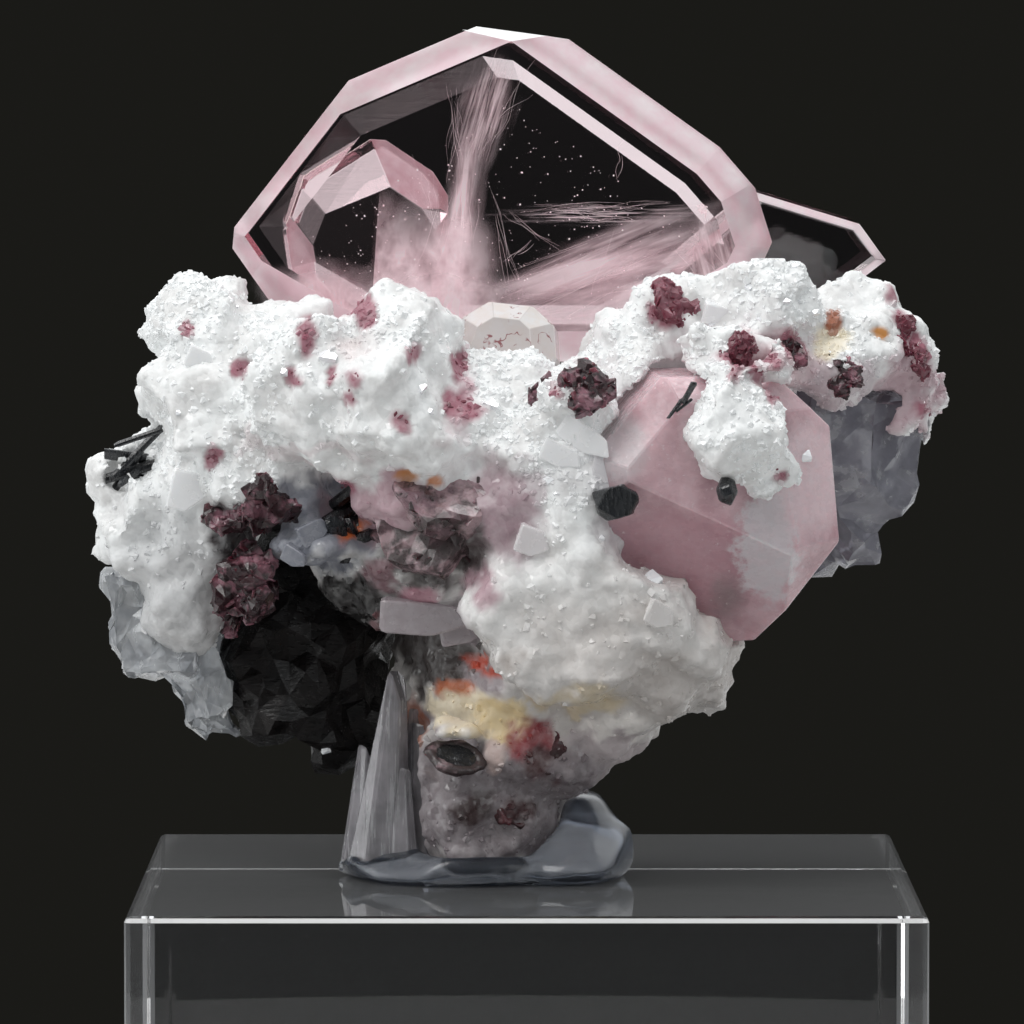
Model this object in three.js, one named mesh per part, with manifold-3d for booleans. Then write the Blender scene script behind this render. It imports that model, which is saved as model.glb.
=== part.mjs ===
// A morganite specimen from a pegmatite pocket, set with tack on a clear acrylic block.
// Millimetres, +Z up. The origin is the centre of the block's underside. +X is to the right of the
// display side, and -Y is towards the person who looks at it.
//
// Every piece that touches another keeps seatGap to it: the crystals stand in pockets of their own
// outline in the albite matrix, and the tack is hollowed where the foot of the specimen stands in it.
import * as THREE from "three";
import { mergeVertices } from "three/addons/utils/BufferGeometryUtils.js";
import Module from "manifold-3d";

const wasm = await Module();
wasm.setup();

// ---------------------------------------------------------------- driving dimensions

const blockWidth = 50; // a two inch display block, square in plan
const blockHeight = 25; // one inch
const blockChamfer = 0.8;
const seatGap = 0.3; // left between two pieces that touch
const knobHeight = 2.3; // how far the albite's small knobs rise above the hollows between them

const footLevel = blockHeight + 0.9; // underside of the specimen, with tack between it and the block

// ---------------------------------------------------------------- materials

const finish = (color, roughness) =>
  new THREE.MeshStandardMaterial({ color, roughness, metalness: 0, flatShading: true });

const materials = {
  acrylic: finish(0xdfe6ea, 0.05),
  tack: finish(0xaab2bd, 0.35),
  albite: finish(0xe9ebe8, 0.75),
  morganite: finish(0xf0c3c8, 0.08),
  roseMorganite: finish(0xb98f96, 0.25),
  quartz: finish(0xb9b9c2, 0.15),
  smokyQuartz: finish(0x1f1a19, 0.12),
  schorl: finish(0x17191b, 0.25),
  lepidolite: finish(0x7c3346, 0.35),
};

// ---------------------------------------------------------------- solids from three.js geometry

// A geometry with its positions only, each corner point once.
function bare(geometry) {
  geometry.deleteAttribute("normal");
  geometry.deleteAttribute("uv");
  return mergeVertices(geometry, 1e-4);
}

// A bare, closed geometry as a manifold-3d solid.
const solidOf = (geometry) =>
  new wasm.Manifold(
    new wasm.Mesh({
      numProp: 3,
      vertProperties: geometry.attributes.position.array,
      triVerts: new Uint32Array(geometry.index.array),
    }),
  );

// A solid as a named mesh.
function meshOf(name, solid, material) {
  const { vertProperties, triVerts } = solid.getMesh();
  const geometry = new THREE.BufferGeometry()
    .setAttribute("position", new THREE.BufferAttribute(new Float32Array(vertProperties), 3))
    .setIndex(new THREE.BufferAttribute(new Uint32Array(triVerts), 1));
  geometry.computeVertexNormals();
  const mesh = new THREE.Mesh(geometry, material);
  mesh.name = name;
  return mesh;
}

const joined = (solids) => wasm.Manifold.union(solids);

// The largest of a solid's separate bodies.
const mainBody = (solid) =>
  solid.decompose().reduce((best, body) => (body.volume() > best.volume() ? body : best));

// The same sequence of numbers from 0 to 1 for the same seed.
function seededRandom(seed) {
  let state = seed * 7919 + 13;
  return () => {
    state = (state * 1664525 + 1013904223) % 4294967296;
    return state / 4294967296;
  };
}

const degrees = THREE.MathUtils.degToRad;

// Turned by angles about X, Y and Z in degrees, then moved.
function placed(solid, at, turn = [0, 0, 0]) {
  const matrix = new THREE.Matrix4().compose(
    new THREE.Vector3(...at),
    new THREE.Quaternion().setFromEuler(new THREE.Euler(...turn.map(degrees))),
    new THREE.Vector3(1, 1, 1),
  );
  return solid.transform(matrix.elements);
}

// ---------------------------------------------------------------- crystals: blocks cut by flat faces

// What is left of a large block when each face cuts off all beyond its distance from the centre.
// A face is [x, y, z, distance]; grow moves every face out by that much.
function cutBlock(faces, grow = 0) {
  const reach = 4 * Math.max(...faces.map((face) => face[3])) + 4 * grow;
  let solid = solidOf(bare(new THREE.BoxGeometry(reach, reach, reach)));
  for (const [x, y, z, distance] of faces) {
    const normal = new THREE.Vector3(x, y, z).normalize();
    solid = solid.trimByPlane([-normal.x, -normal.y, -normal.z], -(distance + grow));
  }
  return solid;
}

// The faces of a beryl tablet that stands on edge with its large faces to -Y and +Y.
// rim lists its side faces as [direction in the XZ plane in degrees, distance, width of the front bevel,
// width of the back bevel]. A bevel of width w falls back by w times its slope.
function tabletFaces({ thickness, rim, frontSlope = 1, backSlope = 1 }) {
  const half = thickness / 2;
  const faces = [
    [0, -1, 0, half],
    [0, 1, 0, half],
  ];
  for (const [direction, distance, front, back] of rim) {
    const x = Math.cos(degrees(direction));
    const z = Math.sin(degrees(direction));
    faces.push([x, 0, z, distance]);
    for (const [side, width, slope] of [[-1, front, frontSlope], [1, back, backSlope]]) {
      const length = Math.hypot(slope, 1);
      const edge = distance - width;
      faces.push([x * slope, side, z * slope, (edge * slope + half) / length]);
    }
  }
  return faces;
}

// The faces of a six-sided prism along Z, each end flat or drawn to a point.
function prismFaces({ radius, height, tip = 0, base = 0, flat = 1 }) {
  const faces = [[0, 0, 1, height / 2], [0, 0, -1, height / 2]];
  for (let side = 0; side < 6; side += 1) {
    const x = Math.cos(degrees(60 * side));
    const y = Math.sin(degrees(60 * side)) / flat;
    const size = Math.hypot(x, y);
    faces.push([x, y, 0, radius / size]);
    for (const [end, rise] of [[1, tip], [-1, base]]) {
      if (rise > 0) {
        const slope = radius / rise;
        const length = Math.hypot(x, y, slope);
        faces.push([x, y, end * slope, (slope * height) / 2 / length]);
      }
    }
  }
  return faces;
}

const boxFaces = (width, depth, height) => [
  [1, 0, 0, width / 2], [-1, 0, 0, width / 2],
  [0, 1, 0, depth / 2], [0, -1, 0, depth / 2],
  [0, 0, 1, height / 2], [0, 0, -1, height / 2],
];

// Several cut blocks grown together. Each is { faces, at, turn }.
const grownTogether = (blocks, grow = 0) =>
  joined(blocks.map(({ faces, at, turn }) => placed(cutBlock(faces, grow), at, turn)));

// ---------------------------------------------------------------- acrylic block

function acrylicBlock() {
  const half = blockWidth / 2;
  const middle = blockHeight / 2;
  const faces = boxFaces(blockWidth, blockWidth, blockHeight);
  const corner = (half + half - blockChamfer) / Math.SQRT2;
  const edge = (half + middle - blockChamfer) / Math.SQRT2;
  for (const a of [-1, 1]) {
    for (const b of [-1, 1]) {
      faces.push([a, b, 0, corner], [a, 0, b, edge], [0, a, b, edge]);
    }
  }
  return placed(cutBlock(faces), [0, 0, middle]);
}

// ---------------------------------------------------------------- morganite

// The large tablet, seen flat on, with a smaller tablet grown into its back on the left.
const largeTablet = {
  faces: tabletFaces({
    thickness: 7.6,
    rim: [
      [17.5, 15.8, 2.6, 2.9], [41, 12.8, 2.2, 2.4], [54.5, 10.9, 2.2, 2.9], [82, 10.9, 1.2, 2.2],
      [113, 11.1, 1.7, 2.9], [142, 12.8, 1.2, 3.0], [174.5, 17.4, 1.0, 2.6], [215, 16.4, 1.6, 2.4],
      [240, 13.4, 2.0, 2.4], [270, 10.6, 2.0, 2.4], [300, 12.8, 2.0, 2.4], [335, 17.0, 2.2, 2.6],
    ],
    frontSlope: 0.9,
    backSlope: 0.85,
  }),
  at: [-1.4, 5, 68.8],
  turn: [-1.5, 0, 1.5],
};
const leftTablet = {
  faces: tabletFaces({
    thickness: 6.4,
    rim: [
      [0, 5.6, 1.6, 1.4], [32, 5.9, 1.4, 1.2], [56, 5.8, 1.4, 1.2], [84, 6.2, 1.3, 1.3],
      [135, 4.9, 1.4, 1.5], [180, 5.2, 1.5, 1.4], [225, 6.5, 1.4, 1.4], [270, 7.5, 1.4, 1.4],
      [315, 6.8, 1.4, 1.4],
    ],
  }),
  at: [-10.8, 9.6, 66.6],
  turn: [-3, 4, 3],
};
const mainMorganite = (grow = 0) => grownTogether([largeTablet, leftTablet], grow);

// The tablet that shows behind the large one on the right.
const rearTablet = {
  faces: tabletFaces({
    thickness: 4.4,
    rim: [
      [73, 5.3, 0.8, 1.1], [52, 6.6, 0.9, 0.9], [38, 6.9, 0.9, 0.9], [-53, 3.7, 0.9, 0.9],
      [130, 5.2, 1.0, 1.0], [180, 7.0, 1.0, 1.0], [250, 6.2, 1.0, 1.0],
    ],
  }),
  at: [16.0, 12.9, 63.4],
  turn: [4, 0, 8],
};

// The rose coloured crystal set low in the front, half covered by albite.
const frontTablet = {
  faces: [
    ...tabletFaces({
      thickness: 9.5,
      rim: [
        [5, 7.4, 2.2, 2.0], [48, 8.3, 1.8, 2.0], [90, 8.2, 1.6, 2.0], [140, 8.4, 1.8, 2.0],
        [185, 8.2, 2.0, 2.0], [228, 8.6, 2.6, 2.0], [275, 9.2, 3.0, 2.0], [322, 7.6, 2.4, 2.0],
      ],
    }),
    [-0.24, -0.82, -0.52, 5.3], // the broad face that looks down and to the left
  ],
  at: [12.0, -9.6, 50.0],
  turn: [3, 0, 9],
};

// The small bright crystal at the foot of the large tablet.
const smallCrystal = {
  faces: tabletFaces({
    thickness: 4.6,
    rim: [
      [10, 3.2, 1.4, 1.2], [52, 2.9, 1.3, 1.2], [88, 2.5, 1.2, 1.1], [126, 2.9, 1.4, 1.2],
      [168, 3.2, 1.4, 1.2], [215, 3.2, 1.2, 1.2], [270, 3.0, 1.2, 1.2], [325, 3.2, 1.2, 1.2],
    ],
  }),
  at: [-1.2, -3.9, 59.6],
  turn: [-14, 6, -8],
};

// ---------------------------------------------------------------- quartz

// A quartz prism where it stands.
const prism = (radius, height, tip, base, at, turn, flat = 1) => ({
  faces: prismFaces({ radius, height, tip, base, flat }),
  at,
  turn,
});

// Glassy feldspar and quartz at the lower left: two cleaved blocks, a leaning prism and its splinters.
const leftQuartz = [
  { faces: boxFaces(4.6, 6.2, 6.0), at: [-25.0, 1.0, 42.0], turn: [4, -4, 8] },
  { faces: boxFaces(5.4, 6.6, 4.2), at: [-23.2, 0.6, 39.9], turn: [-6, 3, -10] },
  prism(2.2, 8.6, 2.0, 1.4, [-21.0, -0.2, 37.8], [8, 156, 10]),
  prism(1.4, 5.0, 1.2, 0.0, [-20.6, 0.8, 35.6], [10, 186, 0]),
  { faces: boxFaces(7.0, 2.6, 1.4), at: [-17.6, 1.2, 34.4], turn: [0, 14, 4] },
];

// Grey quartz under the right shoulder, with stubby crystals that point out of it.
const rightQuartz = [
  {
    faces: [
      ...boxFaces(9.4, 11, 10),
      [1, 0.2, -0.9, 4.3], [1, -0.9, 0.1, 4.9], [0.2, -1, -0.8, 4.9], [0.9, 0.8, -0.3, 5.2],
    ],
    at: [20.6, 1.2, 51.6],
    turn: [0, 8, 4],
  },
  prism(1.9, 6.4, 1.3, 0.0, [20.4, -0.6, 47.4], [-8, 128, -10]),
  prism(1.5, 5.6, 1.0, 0.0, [18.6, 1.6, 46.6], [12, 150, 0]),
];

// The upright blades that make the left side of the specimen's foot.
const footQuartz = [
  prism(2.3, 15.5, 5.5, 0.0, [-8.9, -4.0, 33.7], [3, -5, 20], 0.7),
  prism(1.5, 12.0, 3.0, 0.0, [-10.6, -1.6, 32.0], [-3, 2, -15], 0.8),
  { faces: boxFaces(3.4, 4.0, 3.8), at: [-10.4, -3.4, 38.2], turn: [5, 6, 12] },
];

// Dark smoky quartz in the hollow at the left of the front.
const smokyQuartz = [
  {
    faces: [
      ...boxFaces(10.6, 11, 11.5),
      [-1, -0.3, -1, 6.3], [-0.9, -1, 0.2, 6.2], [0.8, -1, -0.4, 6.3],
      [0.2, -0.8, 1, 6.6], [0.8, 0.1, -1, 6.6],
    ],
    at: [-14.6, 3.6, 39.4],
    turn: [0, 6, -6],
  },
  prism(2.8, 12.0, 3.0, 2.4, [-12.2, 2.6, 35.8], [6, 150, 0]),
  prism(2.2, 9.0, 2.2, 1.6, [-16.4, 2.2, 44.6], [-8, 20, 0]),
];

// ---------------------------------------------------------------- schorl and columbite: rods and grains

const rod = (radius, height, at, turn) => prism(radius, height, 0.45 * radius, 0.3 * radius, at, turn);

const schorl = {
  schorl_left: [
    rod(0.75, 5.6, [-24.9, -1.6, 52.8], [20, 38, 0]),
    rod(0.7, 6.0, [-24.4, -2.8, 51.8], [10, 66, 0]),
    rod(0.95, 3.6, [-22.9, -2.6, 51.4], [30, 24, 0]),
  ],
  schorl_centre: [
    rod(1.25, 3.8, [-12.2, -8.2, 49.6], [60, 10, 0]),
    rod(0.55, 4.0, [-11.0, -9.0, 50.2], [10, 62, 0]),
    rod(0.9, 3.6, [-12.5, -7.4, 47.6], [20, -12, 0]),
  ],
  schorl_right: [rod(0.6, 4.0, [9.4, -14.9, 56.0], [20, 34, 0])],
};

const grain = (width, depth, height, at, turn) => ({
  faces: [
    ...boxFaces(width, depth, height),
    [1, -0.9, 1, 0.5 * width], [-1, -0.9, 1, 0.5 * width], [1, -0.9, -1, 0.5 * width],
    [-1, -0.9, -1, 0.5 * width], [1, 0, 0.8, 0.5 * width], [-1, 0, -0.8, 0.5 * width],
  ],
  at,
  turn,
});

const columbite = {
  columbite_large: [grain(2.7, 1.9, 2.0, [5.7, -15.0, 50.2], [0, -16, 4])],
  columbite_small: [grain(1.3, 1.4, 1.6, [12.6, -16.9, 51.0], [0, 24, 0])],
};

// ---------------------------------------------------------------- lepidolite: books of thin six-sided plates

// A book is a fan of plates about a common centre. Each plate leans and turns a little more than the last.
function book({ at, turn, size, plates = 4, seed }) {
  const random = seededRandom(seed);
  const blocks = [];
  const thickness = size * 0.3;
  for (let plate = 0; plate < plates; plate += 1) {
    const share = plates > 1 ? plate / (plates - 1) - 0.5 : 0;
    const width = size * (0.34 + 0.16 * random());
    blocks.push({
      faces: prismFaces({ radius: width, height: thickness }),
      at: [0.9 * share * size, (random() - 0.5) * 0.35 * size, share * thickness * 2.2],
      turn: [(random() - 0.5) * 50, share * 56, random() * 60],
    });
  }
  const pose = new THREE.Matrix4().compose(
    new THREE.Vector3(...at),
    new THREE.Quaternion().setFromEuler(new THREE.Euler(...turn.map(degrees))),
    new THREE.Vector3(1, 1, 1),
  );
  return (grow = 0) => grownTogether(blocks, grow).transform(pose.elements);
}

const lepidolite = {
  lepidolite_left_upper: { at: [-17.6, -7.2, 49.6], turn: [70, 15, 0], size: 4.6, plates: 4, seed: 3 },
  lepidolite_left_lower: { at: [-18.4, -5.6, 44.0], turn: [50, -40, 10], size: 4.4, plates: 4, seed: 5 },
  lepidolite_top: { at: [10.2, -6.6, 62.2], turn: [60, 60, 0], size: 3.9, plates: 4, seed: 7 },
  lepidolite_middle: { at: [3.0, -14.0, 57.2], turn: [80, -10, 0], size: 3.2, plates: 4, seed: 9 },
  lepidolite_right_inner: { at: [16.6, -8.6, 59.2], turn: [65, 30, 0], size: 3.2, plates: 3, seed: 11 },
  lepidolite_right_outer: { at: [19.6, -6.4, 57.8], turn: [75, -20, 0], size: 3.8, plates: 3, seed: 13 },
  lepidolite_far_right: { at: [25.6, -2.8, 58.6], turn: [30, 70, 0], size: 4.0, plates: 3, seed: 15 },
  lepidolite_ledge: { at: [13.0, -12.2, 59.8], turn: [80, 10, 0], size: 3.0, plates: 3, seed: 17 },
  lepidolite_centre: { at: [-6.8, -9.4, 48.8], turn: [60, -25, 0], size: 6.4, plates: 4, seed: 19 },
  lepidolite_violet: { at: [-1.6, -10.4, 48.4], turn: [75, 35, 0], size: 5.0, plates: 3, seed: 21 },
  lepidolite_foot_right: { at: [0.3, -7.4, 33.2], turn: [75, -35, 0], size: 3.4, plates: 3, seed: 23 },
  lepidolite_foot_left: { at: [-4.6, -8.0, 33.4], turn: [84, 6, 0], size: 3.6, plates: 2, seed: 40 },
  lepidolite_foot_low: { at: [-2.3, -7.6, 29.5], turn: [80, 10, 0], size: 2.8, plates: 3, seed: 25 },
  lepidolite_back: { at: [-15.0, 15.6, 51.4], turn: [-70, 20, 0], size: 4.2, plates: 3, seed: 33 },
};

// ---------------------------------------------------------------- albite matrix

// The main masses of the matrix, each [centre], [half widths] and, where it isn't 1, how fine its faces are:
// 0 for a mass that the others cover, 2 for one that shows all its knobs.
const masses = {
  coreLeft: [[-10.0, 3.0, 51.0], [9.0, 9.0, 8.4], 0],
  coreRight: [[7.0, 3.5, 51.0], [9.0, 9.0, 8.4], 0],
  topLeft: [[-20.3, -1.5, 60.2], [4.1, 6.0, 4.5]],
  left: [[-20.6, -3.0, 56.0], [4.9, 7.0, 4.6]],
  saddleLeft: [[-15.4, -3.4, 58.0], [5.0, 6.0, 5.2]],
  frontLeft: [[-13.4, -9.4, 56.6], [5.4, 6.0, 5.6]],
  frontCrest: [[-8.8, -9.4, 58.2], [5.8, 6.2, 5.4]],
  frontSill: [[-8.6, -10.4, 54.4], [6.4, 5.6, 4.2]],
  wristLeft: [[-25.0, 0.5, 49.9], [3.4, 5.4, 4.0]],
  wristKnob: [[-26.2, -1.0, 47.2], [2.3, 3.0, 2.3]],
  columnLeft: [[-22.6, 0.5, 45.4], [4.1, 5.8, 5.6]],
  saddle: [[-3.0, -6.0, 55.4], [6.8, 6.4, 4.9]],
  middle: [[2.2, -8.6, 53.0], [6.6, 6.6, 5.8]],
  saddleRight: [[7.0, -5.5, 57.6], [4.6, 5.8, 4.8]],
  topRight: [[14.2, -4.2, 60.1], [6.4, 6.4, 5.1]],
  right: [[20.9, -0.8, 59.2], [5.4, 5.8, 4.8]],
  rightTip: [[24.6, 0.2, 55.8], [2.9, 4.6, 3.4]],
  bridge: [[13.2, -11.6, 58.6], [3.8, 3.8, 2.6]],
  cap: [[13.0, -15.0, 54.4], [4.0, 3.0, 3.8]],
  apron: [[15.4, -14.2, 48.4], [2.7, 2.2, 5.5]],
  cheek: [[-9.4, -3.0, 46.2], [5.2, 5.6, 4.8]],
  shelf: [[-6.4, -5.8, 42.6], [3.7, 3.6, 1.7]],
  frontLower: [[3.4, -9.6, 42.9], [7.8, 6.6, 6.2], 2],
  lowerRight: [[9.9, -6.0, 41.4], [4.9, 6.2, 5.6]],
  chin: [[5.8, -6.2, 37.0], [5.4, 4.8, 3.8]],
  neck: [[-1.2, -2.2, 38.0], [6.8, 6.8, 6.0]],
  foot: [[-2.6, -2.0, 31.0], [6.0, 6.2, 8.0]],
  backTopLeft: [[-17.0, 7.2, 54.0], [6.2, 6.6, 5.2]],
  backLeft: [[-14.0, 9.6, 48.6], [7.0, 6.4, 6.2]],
  backMiddle: [[-4.0, 11.6, 51.8], [7.6, 6.4, 6.8]],
  backSeat: [[15.4, 11.6, 57.4], [6.4, 5.2, 4.6]],
  backRight: [[12.0, 9.8, 50.0], [7.0, 7.0, 6.6]],
  backSide: [[19.6, 5.6, 54.4], [5.2, 6.2, 5.0]],
  backLower: [[2.0, 9.6, 43.2], [7.6, 6.4, 7.0]],
  backHeel: [[-3.6, 4.4, 35.4], [6.6, 5.4, 7.0]],
};

// A smooth uneven factor about 1 for a direction, different for each seed.
const unevenness = (direction, seed) =>
  1 +
  0.09 * Math.sin(3.1 * direction.x + 1.7 * seed) * Math.cos(2.3 * direction.z - seed) +
  0.07 * Math.sin(5.3 * direction.y + 2.9 * direction.z + 2.1 * seed);

// A ball stretched to its half widths, with an uneven surface and a knob or a hollow at each of its points.
function lump([centre, halfWidths], { seed, detail, knobs = 0, grow = 0 }) {
  const geometry = bare(new THREE.IcosahedronGeometry(1, detail));
  const position = geometry.attributes.position;
  const random = seededRandom(seed);
  const direction = new THREE.Vector3();
  for (let i = 0; i < position.count; i += 1) {
    direction.fromBufferAttribute(position, i);
    const factor = unevenness(direction, seed);
    const rise = grow + knobs * (random() - 0.6);
    const point = direction.toArray().map((value, axis) => value * (halfWidths[axis] * factor + rise));
    position.setXYZ(i, ...point);
  }
  return placed(solidOf(geometry), centre);
}

// One mass of the matrix.
function knobbedMass(name, grow = 0) {
  const [centre, halfWidths, detail = 1] = masses[name];
  const seed = Math.round(10 * Math.abs(centre[0] + centre[2]));
  return lump([centre, halfWidths], { seed, detail, knobs: knobHeight, grow });
}

function albiteMatrix(pockets) {
  const rough = joined(Object.keys(masses).map((name) => knobbedMass(name)));
  return mainBody(rough.trimByPlane([0, 0, 1], footLevel).subtract(joined(pockets)));
}

// ---------------------------------------------------------------- mounting tack

// Pressed mounds of tack, each [centre], [half widths], flat on the block.
const mounds = [
  [[-7.4, -1.0, 25.6], [5.2, 7.6, 2.6]],
  [[-2.6, -2.0, 25.4], [7.4, 8.0, 2.9]],
  [[2.4, -1.4, 26.0], [4.6, 7.4, 3.7]],
  [[3.4, -0.6, 27.4], [2.9, 5.4, 3.2]],
];

function mountingTack(foot) {
  const heap = joined(mounds.map((mound, index) => lump(mound, { seed: index + 40, detail: 1 })));
  const flat = heap.trimByPlane([0, 0, 1], blockHeight);
  return mainBody(flat.subtract(foot));
}

// ---------------------------------------------------------------- assembly

// Every crystal that stands in a pocket of the matrix: [name, solid for a given growth, material].
const bedded = [
  ["morganite_main", mainMorganite, materials.morganite],
  ["morganite_rear", (grow) => grownTogether([rearTablet], grow), materials.morganite],
  ["morganite_front", (grow) => grownTogether([frontTablet], grow), materials.roseMorganite],
  ["morganite_small", (grow) => grownTogether([smallCrystal], grow), materials.morganite],
  ["smoky_quartz", (grow) => grownTogether(smokyQuartz, grow), materials.smokyQuartz],
  ["quartz_left", (grow) => grownTogether(leftQuartz, grow), materials.quartz],
  ["quartz_right", (grow) => grownTogether(rightQuartz, grow), materials.quartz],
  ["quartz_foot", (grow) => grownTogether(footQuartz, grow), materials.quartz],
];
for (const [name, rods] of Object.entries(schorl)) {
  bedded.push([name, (grow) => grownTogether(rods, grow), materials.schorl]);
}
for (const [name, grains] of Object.entries(columbite)) {
  bedded.push([name, (grow) => grownTogether(grains, grow), materials.schorl]);
}
for (const [name, shape] of Object.entries(lepidolite)) {
  bedded.push([name, book(shape), materials.lepidolite]);
}

const specimen = new THREE.Group();

// An earlier crystal keeps its shape, and each later one is cut back to clear it.
const pockets = [];
for (const [name, shape, material] of bedded) {
  const whole = shape(0).trimByPlane([0, 0, 1], footLevel);
  const clear = pockets.length ? mainBody(whole.subtract(joined(pockets))) : whole;
  specimen.add(meshOf(name, clear, material));
  pockets.push(shape(seatGap));
}
specimen.add(meshOf("albite_matrix", albiteMatrix(pockets), materials.albite));

// What stands in the tack, grown by the gap to it.
const foot = joined([
  ...["foot", "neck", "backHeel"].map((name) => knobbedMass(name, seatGap)),
  ...pockets,
]).trimByPlane([0, 0, 1], footLevel - seatGap);

specimen.add(meshOf("mounting_tack", mountingTack(foot), materials.tack));
specimen.add(meshOf("acrylic_block", acrylicBlock(), materials.acrylic));

export default specimen;
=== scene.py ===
# A morganite specimen, set with tack on a clear display block.
import bpy
import math
import random
import numpy as np
from mathutils import Euler, Matrix, Vector, noise
from mathutils.bvhtree import BVHTree


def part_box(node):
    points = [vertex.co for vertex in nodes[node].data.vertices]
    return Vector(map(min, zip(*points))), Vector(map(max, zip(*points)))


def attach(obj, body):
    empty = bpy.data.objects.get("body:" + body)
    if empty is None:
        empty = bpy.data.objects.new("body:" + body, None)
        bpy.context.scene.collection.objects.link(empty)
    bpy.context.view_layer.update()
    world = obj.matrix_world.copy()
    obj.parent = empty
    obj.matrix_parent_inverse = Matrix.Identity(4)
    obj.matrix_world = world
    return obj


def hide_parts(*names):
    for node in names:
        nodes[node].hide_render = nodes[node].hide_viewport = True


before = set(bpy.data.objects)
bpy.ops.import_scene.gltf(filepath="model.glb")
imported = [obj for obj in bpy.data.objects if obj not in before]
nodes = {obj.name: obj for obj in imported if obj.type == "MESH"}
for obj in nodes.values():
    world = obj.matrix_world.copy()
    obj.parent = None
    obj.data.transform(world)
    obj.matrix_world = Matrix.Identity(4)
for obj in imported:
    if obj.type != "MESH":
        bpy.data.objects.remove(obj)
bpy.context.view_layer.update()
mm = 0.001


def say(text):
    print("specimen:", text)


say("frame loaded, %d nodes" % len(nodes))

# camera: far off, a little above, so the lens is long
camera = {"at": (-0.91, -515, 81), "down": 3.6, "roll": 0.0, "lens": 279.07}

cameraData = bpy.data.cameras.new("camera")
cameraData.lens = camera["lens"]
cameraData.clip_start = 0.05
cameraData.clip_end = 10
viewer = bpy.data.objects.new("camera", cameraData)
viewer.matrix_world = (
    Matrix.Translation(Vector(camera["at"]) * mm)
    @ Matrix.Rotation(math.radians(90 - camera["down"]), 4, "X")
    @ Matrix.Rotation(math.radians(-camera["roll"]), 4, "Z")
)
bpy.context.scene.collection.objects.link(viewer)
bpy.context.scene.camera = viewer


# ---- small helpers for pieces

def onlySelect(*pieces):
    bpy.ops.object.select_all(action="DESELECT")
    for piece in pieces:
        piece.select_set(True)
    bpy.context.view_layer.objects.active = pieces[0]


def inEditMode(piece):
    onlySelect(piece)
    bpy.ops.object.mode_set(mode="EDIT")
    bpy.ops.mesh.select_all(action="SELECT")


def leaveEditMode():
    bpy.ops.object.mode_set(mode="OBJECT")


def selectFaces(piece, test):
    # selects faces by their centre and normal, in millimetres
    bpy.ops.mesh.select_all(action="DESELECT")
    bpy.ops.object.mode_set(mode="OBJECT")
    for face in piece.data.polygons:
        face.select = bool(test(face.center / mm, face.normal))
    bpy.ops.object.mode_set(mode="EDIT")


def applyPlace(piece):
    onlySelect(piece)
    bpy.ops.object.transform_apply(location=True, rotation=True, scale=True)


def applyModifiers(piece):
    onlySelect(piece)
    for modifier in list(piece.modifiers):
        bpy.ops.object.modifier_apply(modifier=modifier.name)


def copyOfNode(nodeName, pieceName):
    # a CAD node's mesh is loose triangles, so its copy is merged before anything else
    piece = bpy.data.objects.new(pieceName, nodes[nodeName].data.copy())
    bpy.context.scene.collection.objects.link(piece)
    piece.data.materials.clear()
    inEditMode(piece)
    bpy.ops.mesh.remove_doubles(threshold=0.002 * mm)
    leaveEditMode()
    return piece


def dress(piece, materials, replaced=()):
    piece.data.materials.clear()
    for material in materials:
        piece.data.materials.append(material)
    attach(piece, "root")
    if replaced:
        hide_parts(*replaced)
    return piece


def removePiece(piece):
    bpy.data.objects.remove(piece, do_unlink=True)


def joinedCopies(source, pieceName, places, tones=None):
    # one mesh of many copies of a modelled piece, with a tone from 0 to 1 and a stain and painted shade for each copy
    corners = np.array([v.co[:] for v in source.data.vertices])
    faces = [tuple(p.vertices) for p in source.data.polygons]
    allCorners, allFaces = [], []
    for number, place in enumerate(places):
        m = np.array(place)
        allCorners.append(corners @ m[:3, :3].T + m[:3, 3])
        first = number * len(corners)
        allFaces.extend(tuple(v + first for v in face) for face in faces)
    mesh = bpy.data.meshes.new(pieceName)
    mesh.from_pydata(np.concatenate(allCorners).tolist(), [], allFaces)
    if tones is None:
        tones = [random.Random(i * 7 + 3).random() for i in range(len(places))]
    tone = mesh.attributes.new("tone", "FLOAT", "POINT")
    tone.data.foreach_set("value", np.repeat(np.array(tones, np.float32), len(corners)))
    paintStainAndShade(mesh, np.repeat(stainAndShadeOf(np.array([place.translation[:] for place in places])), len(corners), axis=0))
    mesh.update()
    piece = bpy.data.objects.new(pieceName, mesh)
    bpy.context.scene.collection.objects.link(piece)
    return piece


def placeAt(at, turn=(0, 0, 0), size=(1, 1, 1)):
    # at in millimetres, turn in degrees
    if not hasattr(size, "__len__"):
        size = (size, size, size)
    return (
        Matrix.Translation(Vector(at) * mm)
        @ Euler([math.radians(a) for a in turn]).to_matrix().to_4x4()
        @ Matrix.Diagonal((*size, 1))
    )


def surfaceTree(*pieces):
    # one tree of all the pieces' faces, for finding where a ray meets them
    corners, faces = [], []
    for piece in pieces:
        first = len(corners)
        corners.extend(v.co.copy() for v in piece.data.vertices)
        faces.extend([v + first for v in p.vertices] for p in piece.data.polygons)
    return BVHTree.FromPolygons(corners, faces)


def frontOf(tree, x, z):
    # where the line of sight through (x, z) in the plane 10 mm in front of the middle meets the surface
    eye = Vector(camera["at"]) * mm
    line = (Vector((x, -10, z)) * mm - eye).normalized()
    return tree.ray_cast(eye, line, 2.0)[:2]


# ---- node groups that several materials use

def newGroup(name, inputs, outputs):
    tree = bpy.data.node_groups.new(name, "ShaderNodeTree")
    for label, kind, value in inputs:
        socket = tree.interface.new_socket(name=label, in_out="INPUT", socket_type="NodeSocket" + kind)
        socket.default_value = value
    for label, kind in outputs:
        tree.interface.new_socket(name=label, in_out="OUTPUT", socket_type="NodeSocket" + kind)
    return tree, tree.nodes.new("NodeGroupInput"), tree.nodes.new("NodeGroupOutput")


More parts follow.
